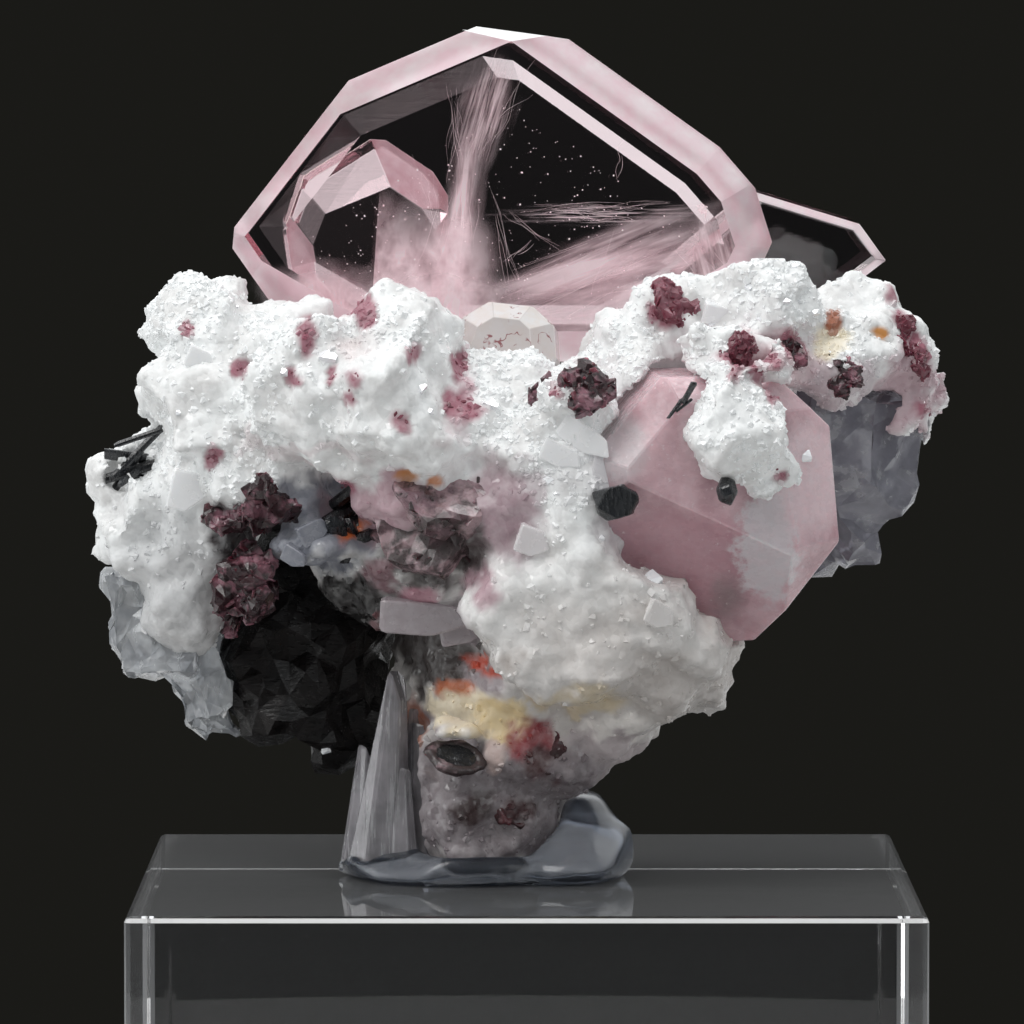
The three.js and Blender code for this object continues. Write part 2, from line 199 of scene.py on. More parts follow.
def addNode(tree, kind, settings=None, inputs=None):
    node = tree.nodes.new("ShaderNode" + kind)
    for key, value in (settings or {}).items():
        setattr(node, key, value)
    for key, value in (inputs or {}).items():
        node.inputs[key].default_value = value
    return node


def addGroup(tree, group, inputs=None):
    node = tree.nodes.new("ShaderNodeGroup")
    node.node_tree = group
    for key, value in (inputs or {}).items():
        node.inputs[key].default_value = value
    return node


def millimetres(tree):
    place = addNode(tree, "TexCoord")
    scaled = addNode(tree, "VectorMath", {"operation": "SCALE"}, {"Scale": 1000})
    tree.links.new(place.outputs["Object"], scaled.inputs[0])
    return scaled.outputs[0]


def makeStainSpot():
    tree, given, result = newGroup(
        "stainSpot",
        [("Centre", "Vector", (0, 0, 0)), ("Reach", "Vector", (1, 1, 1)),
         ("Ragged", "Float", 1.0), ("Softness", "Float", 0.5)],
        [("Mask", "Float")],
    )
    place = millimetres(tree)
    wander = addNode(tree, "TexNoise", None, {"Scale": 0.9, "Detail": 4, "Roughness": 0.65})
    middled = addNode(tree, "VectorMath", {"operation": "SUBTRACT"})
    middled.inputs[1].default_value = (0.5, 0.5, 0.5)
    spread = addNode(tree, "VectorMath", {"operation": "SCALE"})
    moved = addNode(tree, "VectorMath", {"operation": "ADD"})
    offset = addNode(tree, "VectorMath", {"operation": "SUBTRACT"})
    shaped = addNode(tree, "VectorMath", {"operation": "DIVIDE"})
    length = addNode(tree, "VectorMath", {"operation": "LENGTH"})
    inner = addNode(tree, "Math", {"operation": "SUBTRACT"})
    inner.inputs[0].default_value = 1
    fade = addNode(tree, "MapRange", {"interpolation_type": "SMOOTHSTEP"}, {"To Min": 1, "To Max": 0})
    tree.links.new(place, wander.inputs["Vector"])
    tree.links.new(wander.outputs["Color"], middled.inputs[0])
    tree.links.new(middled.outputs[0], spread.inputs[0])
    tree.links.new(given.outputs["Ragged"], spread.inputs["Scale"])
    tree.links.new(place, moved.inputs[0])
    tree.links.new(spread.outputs[0], moved.inputs[1])
    tree.links.new(moved.outputs[0], offset.inputs[0])
    tree.links.new(given.outputs["Centre"], offset.inputs[1])
    tree.links.new(offset.outputs[0], shaped.inputs[0])
    tree.links.new(given.outputs["Reach"], shaped.inputs[1])
    tree.links.new(shaped.outputs[0], length.inputs[0])
    tree.links.new(given.outputs["Softness"], inner.inputs[1])
    tree.links.new(length.outputs["Value"], fade.inputs["Value"])
    tree.links.new(inner.outputs[0], fade.inputs["From Min"])
    fade.inputs["From Max"].default_value = 1
    tree.links.new(fade.outputs["Result"], result.inputs["Mask"])
    return tree


def makeSugarGrain():
    tree, given, result = newGroup(
        "sugarGrain",
        [("Size", "Float", 0.5), ("Relief", "Float", 0.5)],
        [("Height", "Float"), ("Facet", "Vector"), ("Sparkle", "Float")],
    )
    place = millimetres(tree)
    scaled = addNode(tree, "VectorMath", {"operation": "DIVIDE"})
    size = addNode(tree, "CombineXYZ")
    cells = addNode(tree, "TexVoronoi", {"feature": "F1"}, {"Scale": 1.0})
    tilt = addNode(tree, "VectorMath", {"operation": "SUBTRACT"})
    tilt.inputs[1].default_value = (0.5, 0.5, 0.5)
    amount = addNode(tree, "VectorMath", {"operation": "SCALE"})
    surface = addNode(tree, "NewGeometry")
    added = addNode(tree, "VectorMath", {"operation": "ADD"})
    unit = addNode(tree, "VectorMath", {"operation": "NORMALIZE"})
    height = addNode(tree, "Math", {"operation": "SUBTRACT"})
    height.inputs[0].default_value = 1
    part = addNode(tree, "SeparateXYZ")
    bright = addNode(tree, "Math", {"operation": "GREATER_THAN"})
    bright.inputs[1].default_value = 0.82
    tree.links.new(place, scaled.inputs[0])
    for axis in "XYZ":
        tree.links.new(given.outputs["Size"], size.inputs[axis])
    tree.links.new(size.outputs[0], scaled.inputs[1])
    tree.links.new(scaled.outputs[0], cells.inputs["Vector"])
    tree.links.new(cells.outputs["Color"], tilt.inputs[0])
    tree.links.new(tilt.outputs[0], amount.inputs[0])
    tree.links.new(given.outputs["Relief"], amount.inputs["Scale"])
    tree.links.new(surface.outputs["Normal"], added.inputs[0])
    tree.links.new(amount.outputs[0], added.inputs[1])
    tree.links.new(added.outputs[0], unit.inputs[0])
    tree.links.new(unit.outputs[0], result.inputs["Facet"])
    tree.links.new(cells.outputs["Distance"], height.inputs[1])
    tree.links.new(height.outputs[0], result.inputs["Height"])
    tree.links.new(cells.outputs["Color"], part.inputs[0])
    tree.links.new(part.outputs["X"], bright.inputs[0])
    tree.links.new(bright.outputs[0], result.inputs["Sparkle"])
    return tree


def makeMottle():
    tree, given, result = newGroup(
        "mottle",
        [("Size", "Float", 2.0), ("Low", "Float", 0.35), ("High", "Float", 0.65), ("Stretch", "Vector", (1, 1, 1))],
        [("Mask", "Float"), ("Height", "Float")],
    )
    place = millimetres(tree)
    size = addNode(tree, "VectorMath", {"operation": "SCALE"})
    scaled = addNode(tree, "VectorMath", {"operation": "DIVIDE"})
    cloud = addNode(tree, "TexNoise", None, {"Scale": 1.0, "Detail": 3, "Roughness": 0.6})
    level = addNode(tree, "MapRange")
    tree.links.new(given.outputs["Stretch"], size.inputs[0])
    tree.links.new(given.outputs["Size"], size.inputs["Scale"])
    tree.links.new(place, scaled.inputs[0])
    tree.links.new(size.outputs[0], scaled.inputs[1])
    tree.links.new(scaled.outputs[0], cloud.inputs["Vector"])
    tree.links.new(cloud.outputs["Fac"], level.inputs["Value"])
    tree.links.new(given.outputs["Low"], level.inputs["From Min"])
    tree.links.new(given.outputs["High"], level.inputs["From Max"])
    tree.links.new(level.outputs["Result"], result.inputs["Mask"])
    tree.links.new(cloud.outputs["Fac"], result.inputs["Height"])
    return tree


stainSpot = makeStainSpot()
sugarGrain = makeSugarGrain()
mottle = makeMottle()


# ---- materials

def newMaterial(name, settings):
    material = bpy.data.materials.new(name)
    material.use_nodes = True
    tree = material.node_tree
    shader = tree.nodes["Principled BSDF"]
    for key, value in settings.items():
        shader.inputs[key].default_value = value
    return material, tree, shader


def mixed(tree, share, first, second):
    # a colour between two, each a colour or another node's output
    mix = addNode(tree, "Mix", {"data_type": "RGBA"})
    factor, a, b = mix.inputs[0], mix.inputs[6], mix.inputs[7]
    for socket, value in ((factor, share), (a, first), (b, second)):
        if isinstance(value, bpy.types.NodeSocket):
            tree.links.new(value, socket)
        else:
            socket.default_value = value if socket is factor else (*value, 1)
    return mix.outputs[2]


def scaledBy(tree, value, number):
    times = addNode(tree, "Math", {"operation": "MULTIPLY"})
    tree.links.new(value, times.inputs[0])
    times.inputs[1].default_value = number
    return times.outputs[0]


def ranged(tree, value, low, high):
    spread = addNode(tree, "MapRange", None, {"To Min": low, "To Max": high})
    tree.links.new(value, spread.inputs["Value"])
    return spread.outputs["Result"]


def bumped(tree, shader, heights, normal=None):
    # heights is a list of (output, distance in mm, strength)
    for height, distance, strength in heights:
        bump = addNode(tree, "Bump", None, {"Strength": strength, "Distance": distance * mm})
        tree.links.new(height, bump.inputs["Height"])
        if normal is not None:
            tree.links.new(normal, bump.inputs["Normal"])
        normal = bump.outputs["Normal"]
    tree.links.new(normal, shader.inputs["Normal"])


# stained and coloured areas of the albite, and painted shade low down, at the lower left, at the foot and in the hollow
# left of the centre: where, how far it reaches, colour and strength
albiteStainsAndShade = [
    # a warm tint and painted shade: the lower albite is darker towards the bottom
    {"at": (0, 0, 29), "reach": (60, 60, 23), "colour": (0.56, 0.51, 0.48), "share": 0.58, "soft": 0.6},
    # painted shade: the lower left of the albite made grey
    {"at": (-22, 0, 44.0), "reach": (7.5, 14, 9.0), "colour": (0.44, 0.45, 0.46), "share": 0.72, "soft": 0.55},
    {"at": (7, -9, 41.5), "reach": (12, 9, 10), "colour": (0.43, 0.39, 0.365), "share": 0.82, "soft": 0.7},
    {"at": (19.6, -4, 57.4), "reach": (3.4, 8, 2.4), "colour": (0.48, 0.40, 0.43), "share": 0.75},
    {"at": (-13.6, -6, 48.3), "reach": (4.6, 9, 3.7), "colour": (0.18, 0.19, 0.225), "share": 0.97, "soft": 0.3},
    {"at": (3.4, -9, 51.6), "reach": (4.2, 9, 3.0), "colour": (0.56, 0.54, 0.56), "share": 0.7, "soft": 0.55},
    {"at": (5.6, -9, 49.4), "reach": (3.2, 9, 4.4), "colour": (0.48, 0.45, 0.48), "share": 0.7, "soft": 0.55},
    {"at": (-1.4, -10, 49.6), "reach": (3.8, 9, 4.6), "colour": (0.32, 0.205, 0.24), "share": 0.92, "soft": 0.5},
    {"at": (-9.0, -10, 49.8), "reach": (4.6, 9, 3.0), "colour": (0.42, 0.26, 0.30), "share": 0.92},
    {"at": (-4.6, -10, 47.6), "reach": (3.0, 9, 3.8), "colour": (0.08, 0.06, 0.062), "share": 0.97},
    {"at": (-6.6, -9, 46.0), "reach": (4.8, 9, 2.4), "colour": (0.055, 0.045, 0.043), "share": 0.98},
    # painted shade: the three near-black areas below darken the hollow under the upper left book and left of the centre
    {"at": (-12.4, -8, 42.4), "reach": (5.4, 10, 3.2), "colour": (0.014, 0.012, 0.012), "share": 1.0, "soft": 0.25},
    {"at": (-18.0, -8, 47.0), "reach": (2.4, 9, 3.6), "colour": (0.02, 0.012, 0.014), "share": 0.98, "soft": 0.3},
    {"at": (-15.8, -7, 42.4), "reach": (2.8, 9, 3.8), "colour": (0.014, 0.012, 0.012), "share": 1.0, "soft": 0.25},
    {"at": (-9.4, -9, 45.2), "reach": (1.8, 9, 1.3), "colour": (0.20, 0.10, 0.12), "share": 0.85},
    {"at": (-9.2, -8, 41.4), "reach": (2.6, 9, 0.8), "colour": (0.22, 0.11, 0.12), "share": 0.85},
    {"at": (-6.9, -9, 43.8), "reach": (1.7, 9, 0.8), "colour": (0.42, 0.20, 0.25), "share": 0.9},
    {"at": (-2.6, -9, 44.6), "reach": (1.8, 9, 2.0), "colour": (0.42, 0.23, 0.28), "share": 0.8},
    {"at": (-5.6, -8, 42.4), "reach": (3.8, 8, 1.6), "colour": (0.32, 0.28, 0.30), "share": 0.95},
    {"at": (-4.3, -8, 56.0), "reach": (1.5, 8, 3.0), "colour": (0.52, 0.30, 0.35), "share": 0.8},
    {"at": (-5.0, -8, 54.0), "reach": (1.8, 8, 1.4), "colour": (0.58, 0.42, 0.45), "share": 0.75},
    {"at": (-13.5, -8, 53.4), "reach": (6.4, 9, 1.0), "colour": (0.60, 0.52, 0.53), "share": 0.6},
    {"at": (-10.4, -8, 59.4), "reach": (3.6, 9, 2.6), "colour": (0.68, 0.56, 0.56), "share": 0.5},
    {"at": (-6.6, -4, 39.6), "reach": (5.6, 14, 2.5), "colour": (0.05, 0.04, 0.038), "share": 0.98, "soft": 0.3},
    {"at": (3.4, -8, 37.6), "reach": (4.0, 9, 1.4), "colour": (0.60, 0.50, 0.34), "share": 0.8},
    {"at": (4.6, -6, 33.4), "reach": (4.4, 9, 3.4), "colour": (0.46, 0.40, 0.41), "share": 0.9},
    # the albite's own grey at the foot, deepened with painted shade under the masses above
    {"at": (-1.6, -6, 30.6), "reach": (8.0, 9, 5.6), "colour": (0.17, 0.145, 0.155), "share": 0.97, "soft": 0.3},
    {"at": (-0.2, -7, 40.0), "reach": (2.8, 8, 2.2), "colour": (0.20, 0.15, 0.12), "share": 0.9},
    {"at": (-2.9, -7, 38.4), "reach": (2.0, 8, 1.5), "colour": (0.34, 0.29, 0.31), "share": 0.95},
    {"at": (-4.7, -6, 37.7), "reach": (1.7, 8, 0.8), "colour": (0.52, 0.14, 0.05), "share": 0.92},
    {"at": (-4.4, -6, 36.3), "reach": (2.8, 8, 1.7), "colour": (0.80, 0.70, 0.52), "share": 0.97},
    {"at": (-1.2, -6, 35.8), "reach": (2.4, 8, 1.7), "colour": (0.70, 0.56, 0.32), "share": 0.95},
    {"at": (-2.0, -6, 33.6), "reach": (1.0, 8, 1.4), "colour": (0.60, 0.46, 0.42), "share": 0.7},
    {"at": (-6.6, -6, 35.6), "reach": (0.9, 8, 0.8), "colour": (0.16, 0.12, 0.15), "share": 0.8},
    {"at": (6.0, -7, 35.6), "reach": (2.8, 8, 1.0), "colour": (0.88, 0.84, 0.80), "share": 0.85},
    {"at": (-3.2, -6, 39.7), "reach": (1.2, 8, 0.5), "colour": (0.50, 0.07, 0.035), "share": 0.97},
    {"at": (-1.9, -6, 38.9), "reach": (1.1, 8, 0.5), "colour": (0.50, 0.07, 0.035), "share": 0.97},
    {"at": (0.9, -6, 38.2), "reach": (0.8, 8, 1.3), "colour": (0.36, 0.13, 0.07), "share": 0.85},
    {"at": (-7.2, -5, 35.0), "reach": (0.8, 8, 2.6), "colour": (0.28, 0.085, 0.04), "share": 0.9},
    {"at": (0.5, -6, 34.4), "reach": (2.2, 8, 1.5), "colour": (0.24, 0.035, 0.045), "share": 0.97},
    {"at": (0.9, -6, 32.8), "reach": (1.5, 8, 1.7), "colour": (0.06, 0.018, 0.02), "share": 0.97},
    {"at": (-3.4, -6, 29.9), "reach": (1.8, 8, 1.4), "colour": (0.035, 0.018, 0.018), "share": 0.97},
    {"at": (-0.5, -6, 29.8), "reach": (1.4, 8, 1.2), "colour": (0.045, 0.018, 0.02), "share": 0.97},
    {"at": (15.0, -12, 46.0), "reach": (3.6, 9, 5.0), "colour": (0.56, 0.47, 0.51), "share": 0.85},
    {"at": (14.8, -8, 59.0), "reach": (5.4, 9, 2.2), "colour": (0.56, 0.34, 0.38), "share": 0.55},
    {"at": (24.4, -1, 56.6), "reach": (3.0, 9, 4.2), "colour": (0.46, 0.30, 0.34), "share": 0.85},
    {"at": (19.4, -4, 60.0), "reach": (1.5, 8, 1.8), "colour": (0.86, 0.78, 0.60), "share": 0.8},
    {"at": (19.7, -4, 61.2), "reach": (0.9, 8, 0.8), "colour": (0.34, 0.09, 0.03), "share": 0.95},
    {"at": (22.8, -4, 60.5), "reach": (0.6, 8, 0.6), "colour": (0.60, 0.24, 0.04), "share": 0.95},
    {"at": (-7.6, -10, 51.7), "reach": (1.0, 7, 0.6), "colour": (0.50, 0.20, 0.05), "share": 0.9},
    {"at": (-5.8, -10, 51.4), "reach": (0.7, 7, 0.6), "colour": (0.55, 0.18, 0.04), "share": 0.9},
    {"at": (-11.3, -8, 48.1), "reach": (1.1, 8, 0.8), "colour": (0.62, 0.14, 0.03), "share": 0.97},
]
# x, z and size of the raspberry smudges on the front, where mica shows through the albite
raspberrySpots = [
    (-13.8, 60.8, 0.5), (-13.9, 59.9, 0.5), (-10.3, 62.0, 0.9), (-10.7, 57.9, 0.6), (-12.3, 58.1, 0.3),
    (-11.1, 56.7, 0.5), (-14.4, 57.8, 0.3), (-18.2, 58.4, 0.4), (-20.0, 52.6, 0.5), (-8.0, 55.1, 0.8),
    (-4.3, 58.6, 0.6), (-4.7, 56.4, 0.9), (-7.2, 59.4, 0.6), (-3.6, 55.7, 0.4), (-15.0, 58.2, 0.3),
    (9.5, 62.4, 0.8), (1.9, 57.1, 0.5), (3.6, 57.6, 1.0), (16.8, 59.8, 0.7), (13.5, 59.1, 0.7),
    (15.7, 56.8, 0.7), (16.0, 51.8, 0.4), (24.9, 59.9, 0.6), (25.4, 58.9, 0.5), (23.6, 62.7, 0.4),
    (25.7, 55.4, 0.4), (12.6, 59.2, 0.5), (8.0, 61.7, 0.4), (-25.5, 41.5, 0.5), (-11.4, 50.9, 0.4),
    (14.6, 58.2, 0.8), (13.2, 58.1, 0.6), (15.7, 58.9, 0.5), (9.0, 61.4, 0.5), (-21.6, 60.8, 0.2), (24.2, 61.2, 0.6),
]


def smoothed(value):
    value = np.clip(value, 0, 1)
    return value * value * (3 - 2 * value)


def stainAndShadeOf(points):
    # the colour of the staining and painted shade at each point, and in the fourth column how strong it is
    places = np.array(points) / mm
    wander = np.array([noise.turbulence_vector(Vector(p) * 0.55, 3, False) for p in places])
    colours, strength = np.zeros((len(places), 3)), np.zeros(len(places))
    spots = [
        {"at": (x, -8, z), "reach": (0.4 + 0.7 * size, 12, 0.5 + 0.9 * size), "colour": (0.31, 0.10, 0.14), "share": 0.95, "soft": 0.35}
        for x, z, size in raspberrySpots
    ]
    for stainAndShade in albiteStainsAndShade + spots:
        ragged = min(1.4, 0.25 * (stainAndShade["reach"][0] + stainAndShade["reach"][2]))
        away = np.linalg.norm((places + wander * ragged - np.array(stainAndShade["at"])) / np.array(stainAndShade["reach"]), axis=1)
        share = stainAndShade["share"] * smoothed((1 - away) / stainAndShade.get("soft", 0.4))
        colours = colours * (1 - share)[:, None] + np.array(stainAndShade["colour"]) * share[:, None]
        strength = strength + (1 - strength) * share
    colours = colours / np.maximum(strength, 0.001)[:, None]
    return np.concatenate([colours, strength[:, None]], axis=1)


def paintStainAndShade(mesh, stainAndShade):
    paint = mesh.attributes.new("stainAndShade", "FLOAT_COLOR", "POINT")
    paint.data.foreach_set("color", stainAndShade.astype(np.float32).ravel())


def stainedAndShaded(tree, colour, share=1.0):
    # the stain attribute holds real stains and painted shade, mixed into the colour here
    stainAndShade = addNode(tree, "Attribute", {"attribute_name": "stainAndShade"})
    patchy = addGroup(tree, mottle, {"Size": 0.7, "Low": 0.3, "High": 0.6})
    reach = addNode(tree, "Math", {"operation": "MULTIPLY"})
    tree.links.new(stainAndShade.outputs["Alpha"], reach.inputs[0])
    tree.links.new(ranged(tree, patchy.outputs["Mask"], 0.88 * share, share), reach.inputs[1])
    return mixed(tree, reach.outputs[0], colour, stainAndShade.outputs["Color"])


def makeAlbite():
    # a faint glow in the albite's own colour: painted light that lifts its shade
    material, tree, shader = newMaterial("albite", {
        "IOR": 1.53, "Emission Strength": 0.09,
    })
    milky = addGroup(tree, mottle, {"Size": 3.2, "Low": 0.42, "High": 0.6})
    fine = addGroup(tree, mottle, {"Size": 0.9, "Low": 0.40, "High": 0.62})
    grains = addGroup(tree, sugarGrain, {"Size": 0.45, "Relief": 0.3})
    colour = mixed(tree, milky.outputs["Mask"], (0.82, 0.84, 0.84), (0.71, 0.71, 0.705))
    colour = stainedAndShaded(tree, mixed(tree, scaledBy(tree, fine.outputs["Mask"], 0.45), colour, (0.97, 0.98, 0.98)))
    tree.links.new(colour, shader.inputs["Base Color"])
    tree.links.new(colour, shader.inputs["Emission Color"])
    tree.links.new(ranged(tree, grains.outputs["Sparkle"], 0.45, 0.12), shader.inputs["Roughness"])
    bumped(tree, shader, [(grains.outputs["Height"], 0.08, 0.35), (fine.outputs["Height"], 0.12, 0.25)], grains.outputs["Facet"])
    return material


def makeSugar(name, first, second, clear, soft):
    # loose grains and blades of albite, each copy a little lighter or darker, with a faint glow in their own colour:
    # painted light that lifts their shade
    material, tree, shader = newMaterial(name, {
        "IOR": 1.5, "Transmission Weight": clear, "Subsurface Weight": soft, "Emission Strength": 0.10,
        "Subsurface Radius": (1.0, 0.97, 0.94), "Subsurface Scale": 0.5 * mm,
    })
    tone = addNode(tree, "Attribute", {"attribute_name": "tone"})
    fine = addGroup(tree, mottle, {"Size": 1.2, "Low": 0.35, "High": 0.65})
    colour = mixed(tree, tone.outputs["Fac"], first, second)
    colour = stainedAndShaded(tree, mixed(tree, scaledBy(tree, fine.outputs["Mask"], 0.2), colour, (0.80, 0.81, 0.81)))
    tree.links.new(colour, shader.inputs["Base Color"])
    tree.links.new(colour, shader.inputs["Emission Color"])
    tree.links.new(ranged(tree, fine.outputs["Mask"], 0.16, 0.34), shader.inputs["Roughness"])
    bumped(tree, shader, [(fine.outputs["Height"], 0.06, 0.3)])
    return material


def makeGlint():
    material, tree, shader = newMaterial("brightCleavage", {"IOR": 1.6, "Coat Weight": 1.0, "Coat Roughness": 0.02})
    fine = addGroup(tree, mottle, {"Size": 0.3, "Low": 0.4, "High": 0.6})
    tree.links.new(mixed(tree, fine.outputs["Mask"], (0.90, 0.92, 0.95), (0.97, 0.98, 1.0)), shader.inputs["Base Color"])
    tree.links.new(ranged(tree, fine.outputs["Mask"], 0.03, 0.1), shader.inputs["Roughness"])
    return material


def makeClearMorganite(name, density, colour, roughness=(0.0, 0.03)):
    material, tree, shader = newMaterial(name, {
        "Base Color": (1.0, 0.97, 0.975, 1), "IOR": 1.58, "Transmission Weight": 1.0,
    })
    faint = addGroup(tree, mottle, {"Size": 1.6, "Low": 0.45, "High": 0.75})
    growth = addGroup(tree, mottle, {"Size": 0.5, "Low": 0.3, "High": 0.7, "Stretch": (6, 1, 0.5)})
    tree.links.new(ranged(tree, faint.outputs["Mask"], *roughness), shader.inputs["Roughness"])
    bumped(tree, shader, [(growth.outputs["Height"], 0.01, 0.15)])
    body = addNode(tree, "VolumeAbsorption", None, {"Color": (*colour, 1), "Density": density})
    tree.links.new(body.outputs[0], tree.nodes["Material Output"].inputs["Volume"])
    return material


def makeRimMorganite(name, first, second, clear, size):
    # the cloudy pale zone along a tablet's edge
    material, tree, shader = newMaterial(name, {"IOR": 1.58, "Transmission Weight": clear})
    cloud = addGroup(tree, mottle, {"Size": size, "Low": 0.38, "High": 0.66})
    etched = addGroup(tree, mottle, {"Size": 0.35, "Low": 0.3, "High": 0.7})
    colour = mixed(tree, cloud.outputs["Mask"], first, second)
    tree.links.new(colour, shader.inputs["Base Color"])
    tree.links.new(ranged(tree, etched.outputs["Mask"], 0.28, 0.42), shader.inputs["Roughness"])
    bumped(tree, shader, [(cloud.outputs["Height"], 0.04, 0.15)])
    body = addNode(tree, "VolumeAbsorption", None, {"Color": (0.93, 0.68, 0.73, 1), "Density": 60})
    tree.links.new(body.outputs[0], tree.nodes["Material Output"].inputs["Volume"])
    return material


def makeRoseMorganite():
    material, tree, shader = newMaterial("roseMorganite", {
        "IOR": 1.58, "Subsurface Weight": 0.5, "Subsurface Radius": (1.0, 0.55, 0.6),
        "Subsurface Scale": 2.0 * mm, "Coat Weight": 0.3,
    })
    cloud = addGroup(tree, mottle, {"Size": 2.4, "Low": 0.38, "High": 0.62})
    scratch = addGroup(tree, mottle, {"Size": 0.5, "Low": 0.35, "High": 0.65, "Stretch": (1.6, 1, 1)})
    lower = addGroup(tree, stainSpot, {"Centre": (9.5, -12, 46.0), "Reach": (8, 9, 4.6), "Ragged": 1.2, "Softness": 0.4})
    pale = addGroup(tree, stainSpot, {"Centre": (6.0, -12, 53.4), "Reach": (2.2, 9, 2.8), "Ragged": 0.8, "Softness": 0.4})
    frost = addGroup(tree, stainSpot, {"Centre": (15.4, -13, 47.2), "Reach": (2.4, 9, 4.6), "Ragged": 4.5, "Softness": 0.35})
    grey = addGroup(tree, stainSpot, {"Centre": (12.8, -12, 43.8), "Reach": (1.7, 9, 2.2), "Ragged": 1.2, "Softness": 0.8})
    speck = addGroup(tree, mottle, {"Size": 0.4, "Low": 0.66, "High": 0.72})
    right = addGroup(tree, stainSpot, {"Centre": (18.0, -11, 51.6), "Reach": (3.0, 9, 5.0), "Ragged": 1.5, "Softness": 0.5})
    colour = mixed(tree, cloud.outputs["Mask"], (0.70, 0.50, 0.54), (0.55, 0.35, 0.39))
    colour = mixed(tree, scaledBy(tree, lower.outputs["Mask"], 0.8), colour, (0.54, 0.30, 0.35))
    colour = mixed(tree, scaledBy(tree, pale.outputs["Mask"], 0.8), colour, (0.62, 0.56, 0.58))
    colour = mixed(tree, scaledBy(tree, frost.outputs["Mask"], 0.9), colour, (0.74, 0.69, 0.72))
    colour = mixed(tree, scaledBy(tree, right.outputs["Mask"], 0.95), colour, (0.88, 0.70, 0.74))
    colour = mixed(tree, scaledBy(tree, grey.outputs["Mask"], 0.75), colour, (0.27, 0.20, 0.21))
    colour = mixed(tree, scaledBy(tree, speck.outputs["Mask"], 0.6), colour, (0.86, 0.78, 0.80))
    tree.links.new(colour, shader.inputs["Base Color"])
    tree.links.new(ranged(tree, scratch.outputs["Mask"], 0.2, 0.36), shader.inputs["Roughness"])
    bumped(tree, shader, [(scratch.outputs["Height"], 0.05, 0.25), (cloud.outputs["Height"], 0.3, 0.25)])
    return material


def makePaleMorganite():
    material, tree, shader = newMaterial("paleMorganite", {"IOR": 1.58, "Transmission Weight": 0.25})
    cloud = addGroup(tree, mottle, {"Size": 1.1, "Low": 0.4, "High": 0.6})
    seam = addGroup(tree, mottle, {"Size": 2.0, "Low": 0.0, "High": 1.0})
    broken = addGroup(tree, mottle, {"Size": 1.3, "Low": 0.48, "High": 0.56})
    middle = addNode(tree, "Math", {"operation": "SUBTRACT"})
    middle.inputs[1].default_value = 0.5
    away = addNode(tree, "Math", {"operation": "ABSOLUTE"})
    thin = addNode(tree, "MapRange", None, {"From Min": 0.006, "From Max": 0.016, "To Min": 1, "To Max": 0})
    shown = addNode(tree, "Math", {"operation": "MULTIPLY"})
    tree.links.new(seam.outputs["Height"], middle.inputs[0])
    tree.links.new(middle.outputs[0], away.inputs[0])
    tree.links.new(away.outputs[0], thin.inputs["Value"])
    tree.links.new(thin.outputs["Result"], shown.inputs[0])
    tree.links.new(broken.outputs["Mask"], shown.inputs[1])
    tone = addNode(tree, "Attribute", {"attribute_name": "tone"})
    colour = mixed(tree, cloud.outputs["Mask"], (0.96, 0.90, 0.86), (0.98, 0.97, 0.97))
    colour = mixed(tree, tone.outputs["Fac"], colour, (0.52, 0.46, 0.45))
    colour = mixed(tree, scaledBy(tree, shown.outputs[0], 0.9), colour, (0.30, 0.07, 0.08))
    tree.links.new(colour, shader.inputs["Base Color"])
    tree.links.new(ranged(tree, cloud.outputs["Mask"], 0.06, 0.2), shader.inputs["Roughness"])
    bumped(tree, shader, [(cloud.outputs["Height"], 0.05, 0.25)])
    return material


def makeQuartz(name, first, second, clear, stretch):
    material, tree, shader = newMaterial(name, {
        "IOR": 1.54, "Transmission Weight": clear,
    })
    cloud = addGroup(tree, mottle, {"Size": 2.2, "Low": 0.38, "High": 0.62})
    veiled = addGroup(tree, mottle, {"Size": 0.9, "Low": 0.52, "High": 0.66, "Stretch": stretch})
    colour = mixed(tree, cloud.outputs["Mask"], first, second)
    colour = mixed(tree, scaledBy(tree, veiled.outputs["Mask"], 0.4), colour, (0.80, 0.82, 0.84))
    tree.links.new(colour, shader.inputs["Base Color"])
    tree.links.new(ranged(tree, veiled.outputs["Mask"], 0.08, 0.35), shader.inputs["Roughness"])
    bumped(tree, shader, [(veiled.outputs["Height"], 0.12, 0.3)])
    return material


def makeDark(name, first, second, stretch, roughness, shine):
    material, tree, shader = newMaterial(name, {"IOR": shine})
    cloud = addGroup(tree, mottle, {"Size": 1.4, "Low": 0.35, "High": 0.65})
    lines = addGroup(tree, mottle, {"Size": 0.22, "Low": 0.3, "High": 0.7, "Stretch": stretch})
    colour = mixed(tree, cloud.outputs["Mask"], first, second)
    tree.links.new(colour, shader.inputs["Base Color"])
    tree.links.new(ranged(tree, lines.outputs["Mask"], *roughness), shader.inputs["Roughness"])
    bumped(tree, shader, [(lines.outputs["Height"], 0.08, 0.6), (cloud.outputs["Height"], 0.15, 0.3)])
    return material


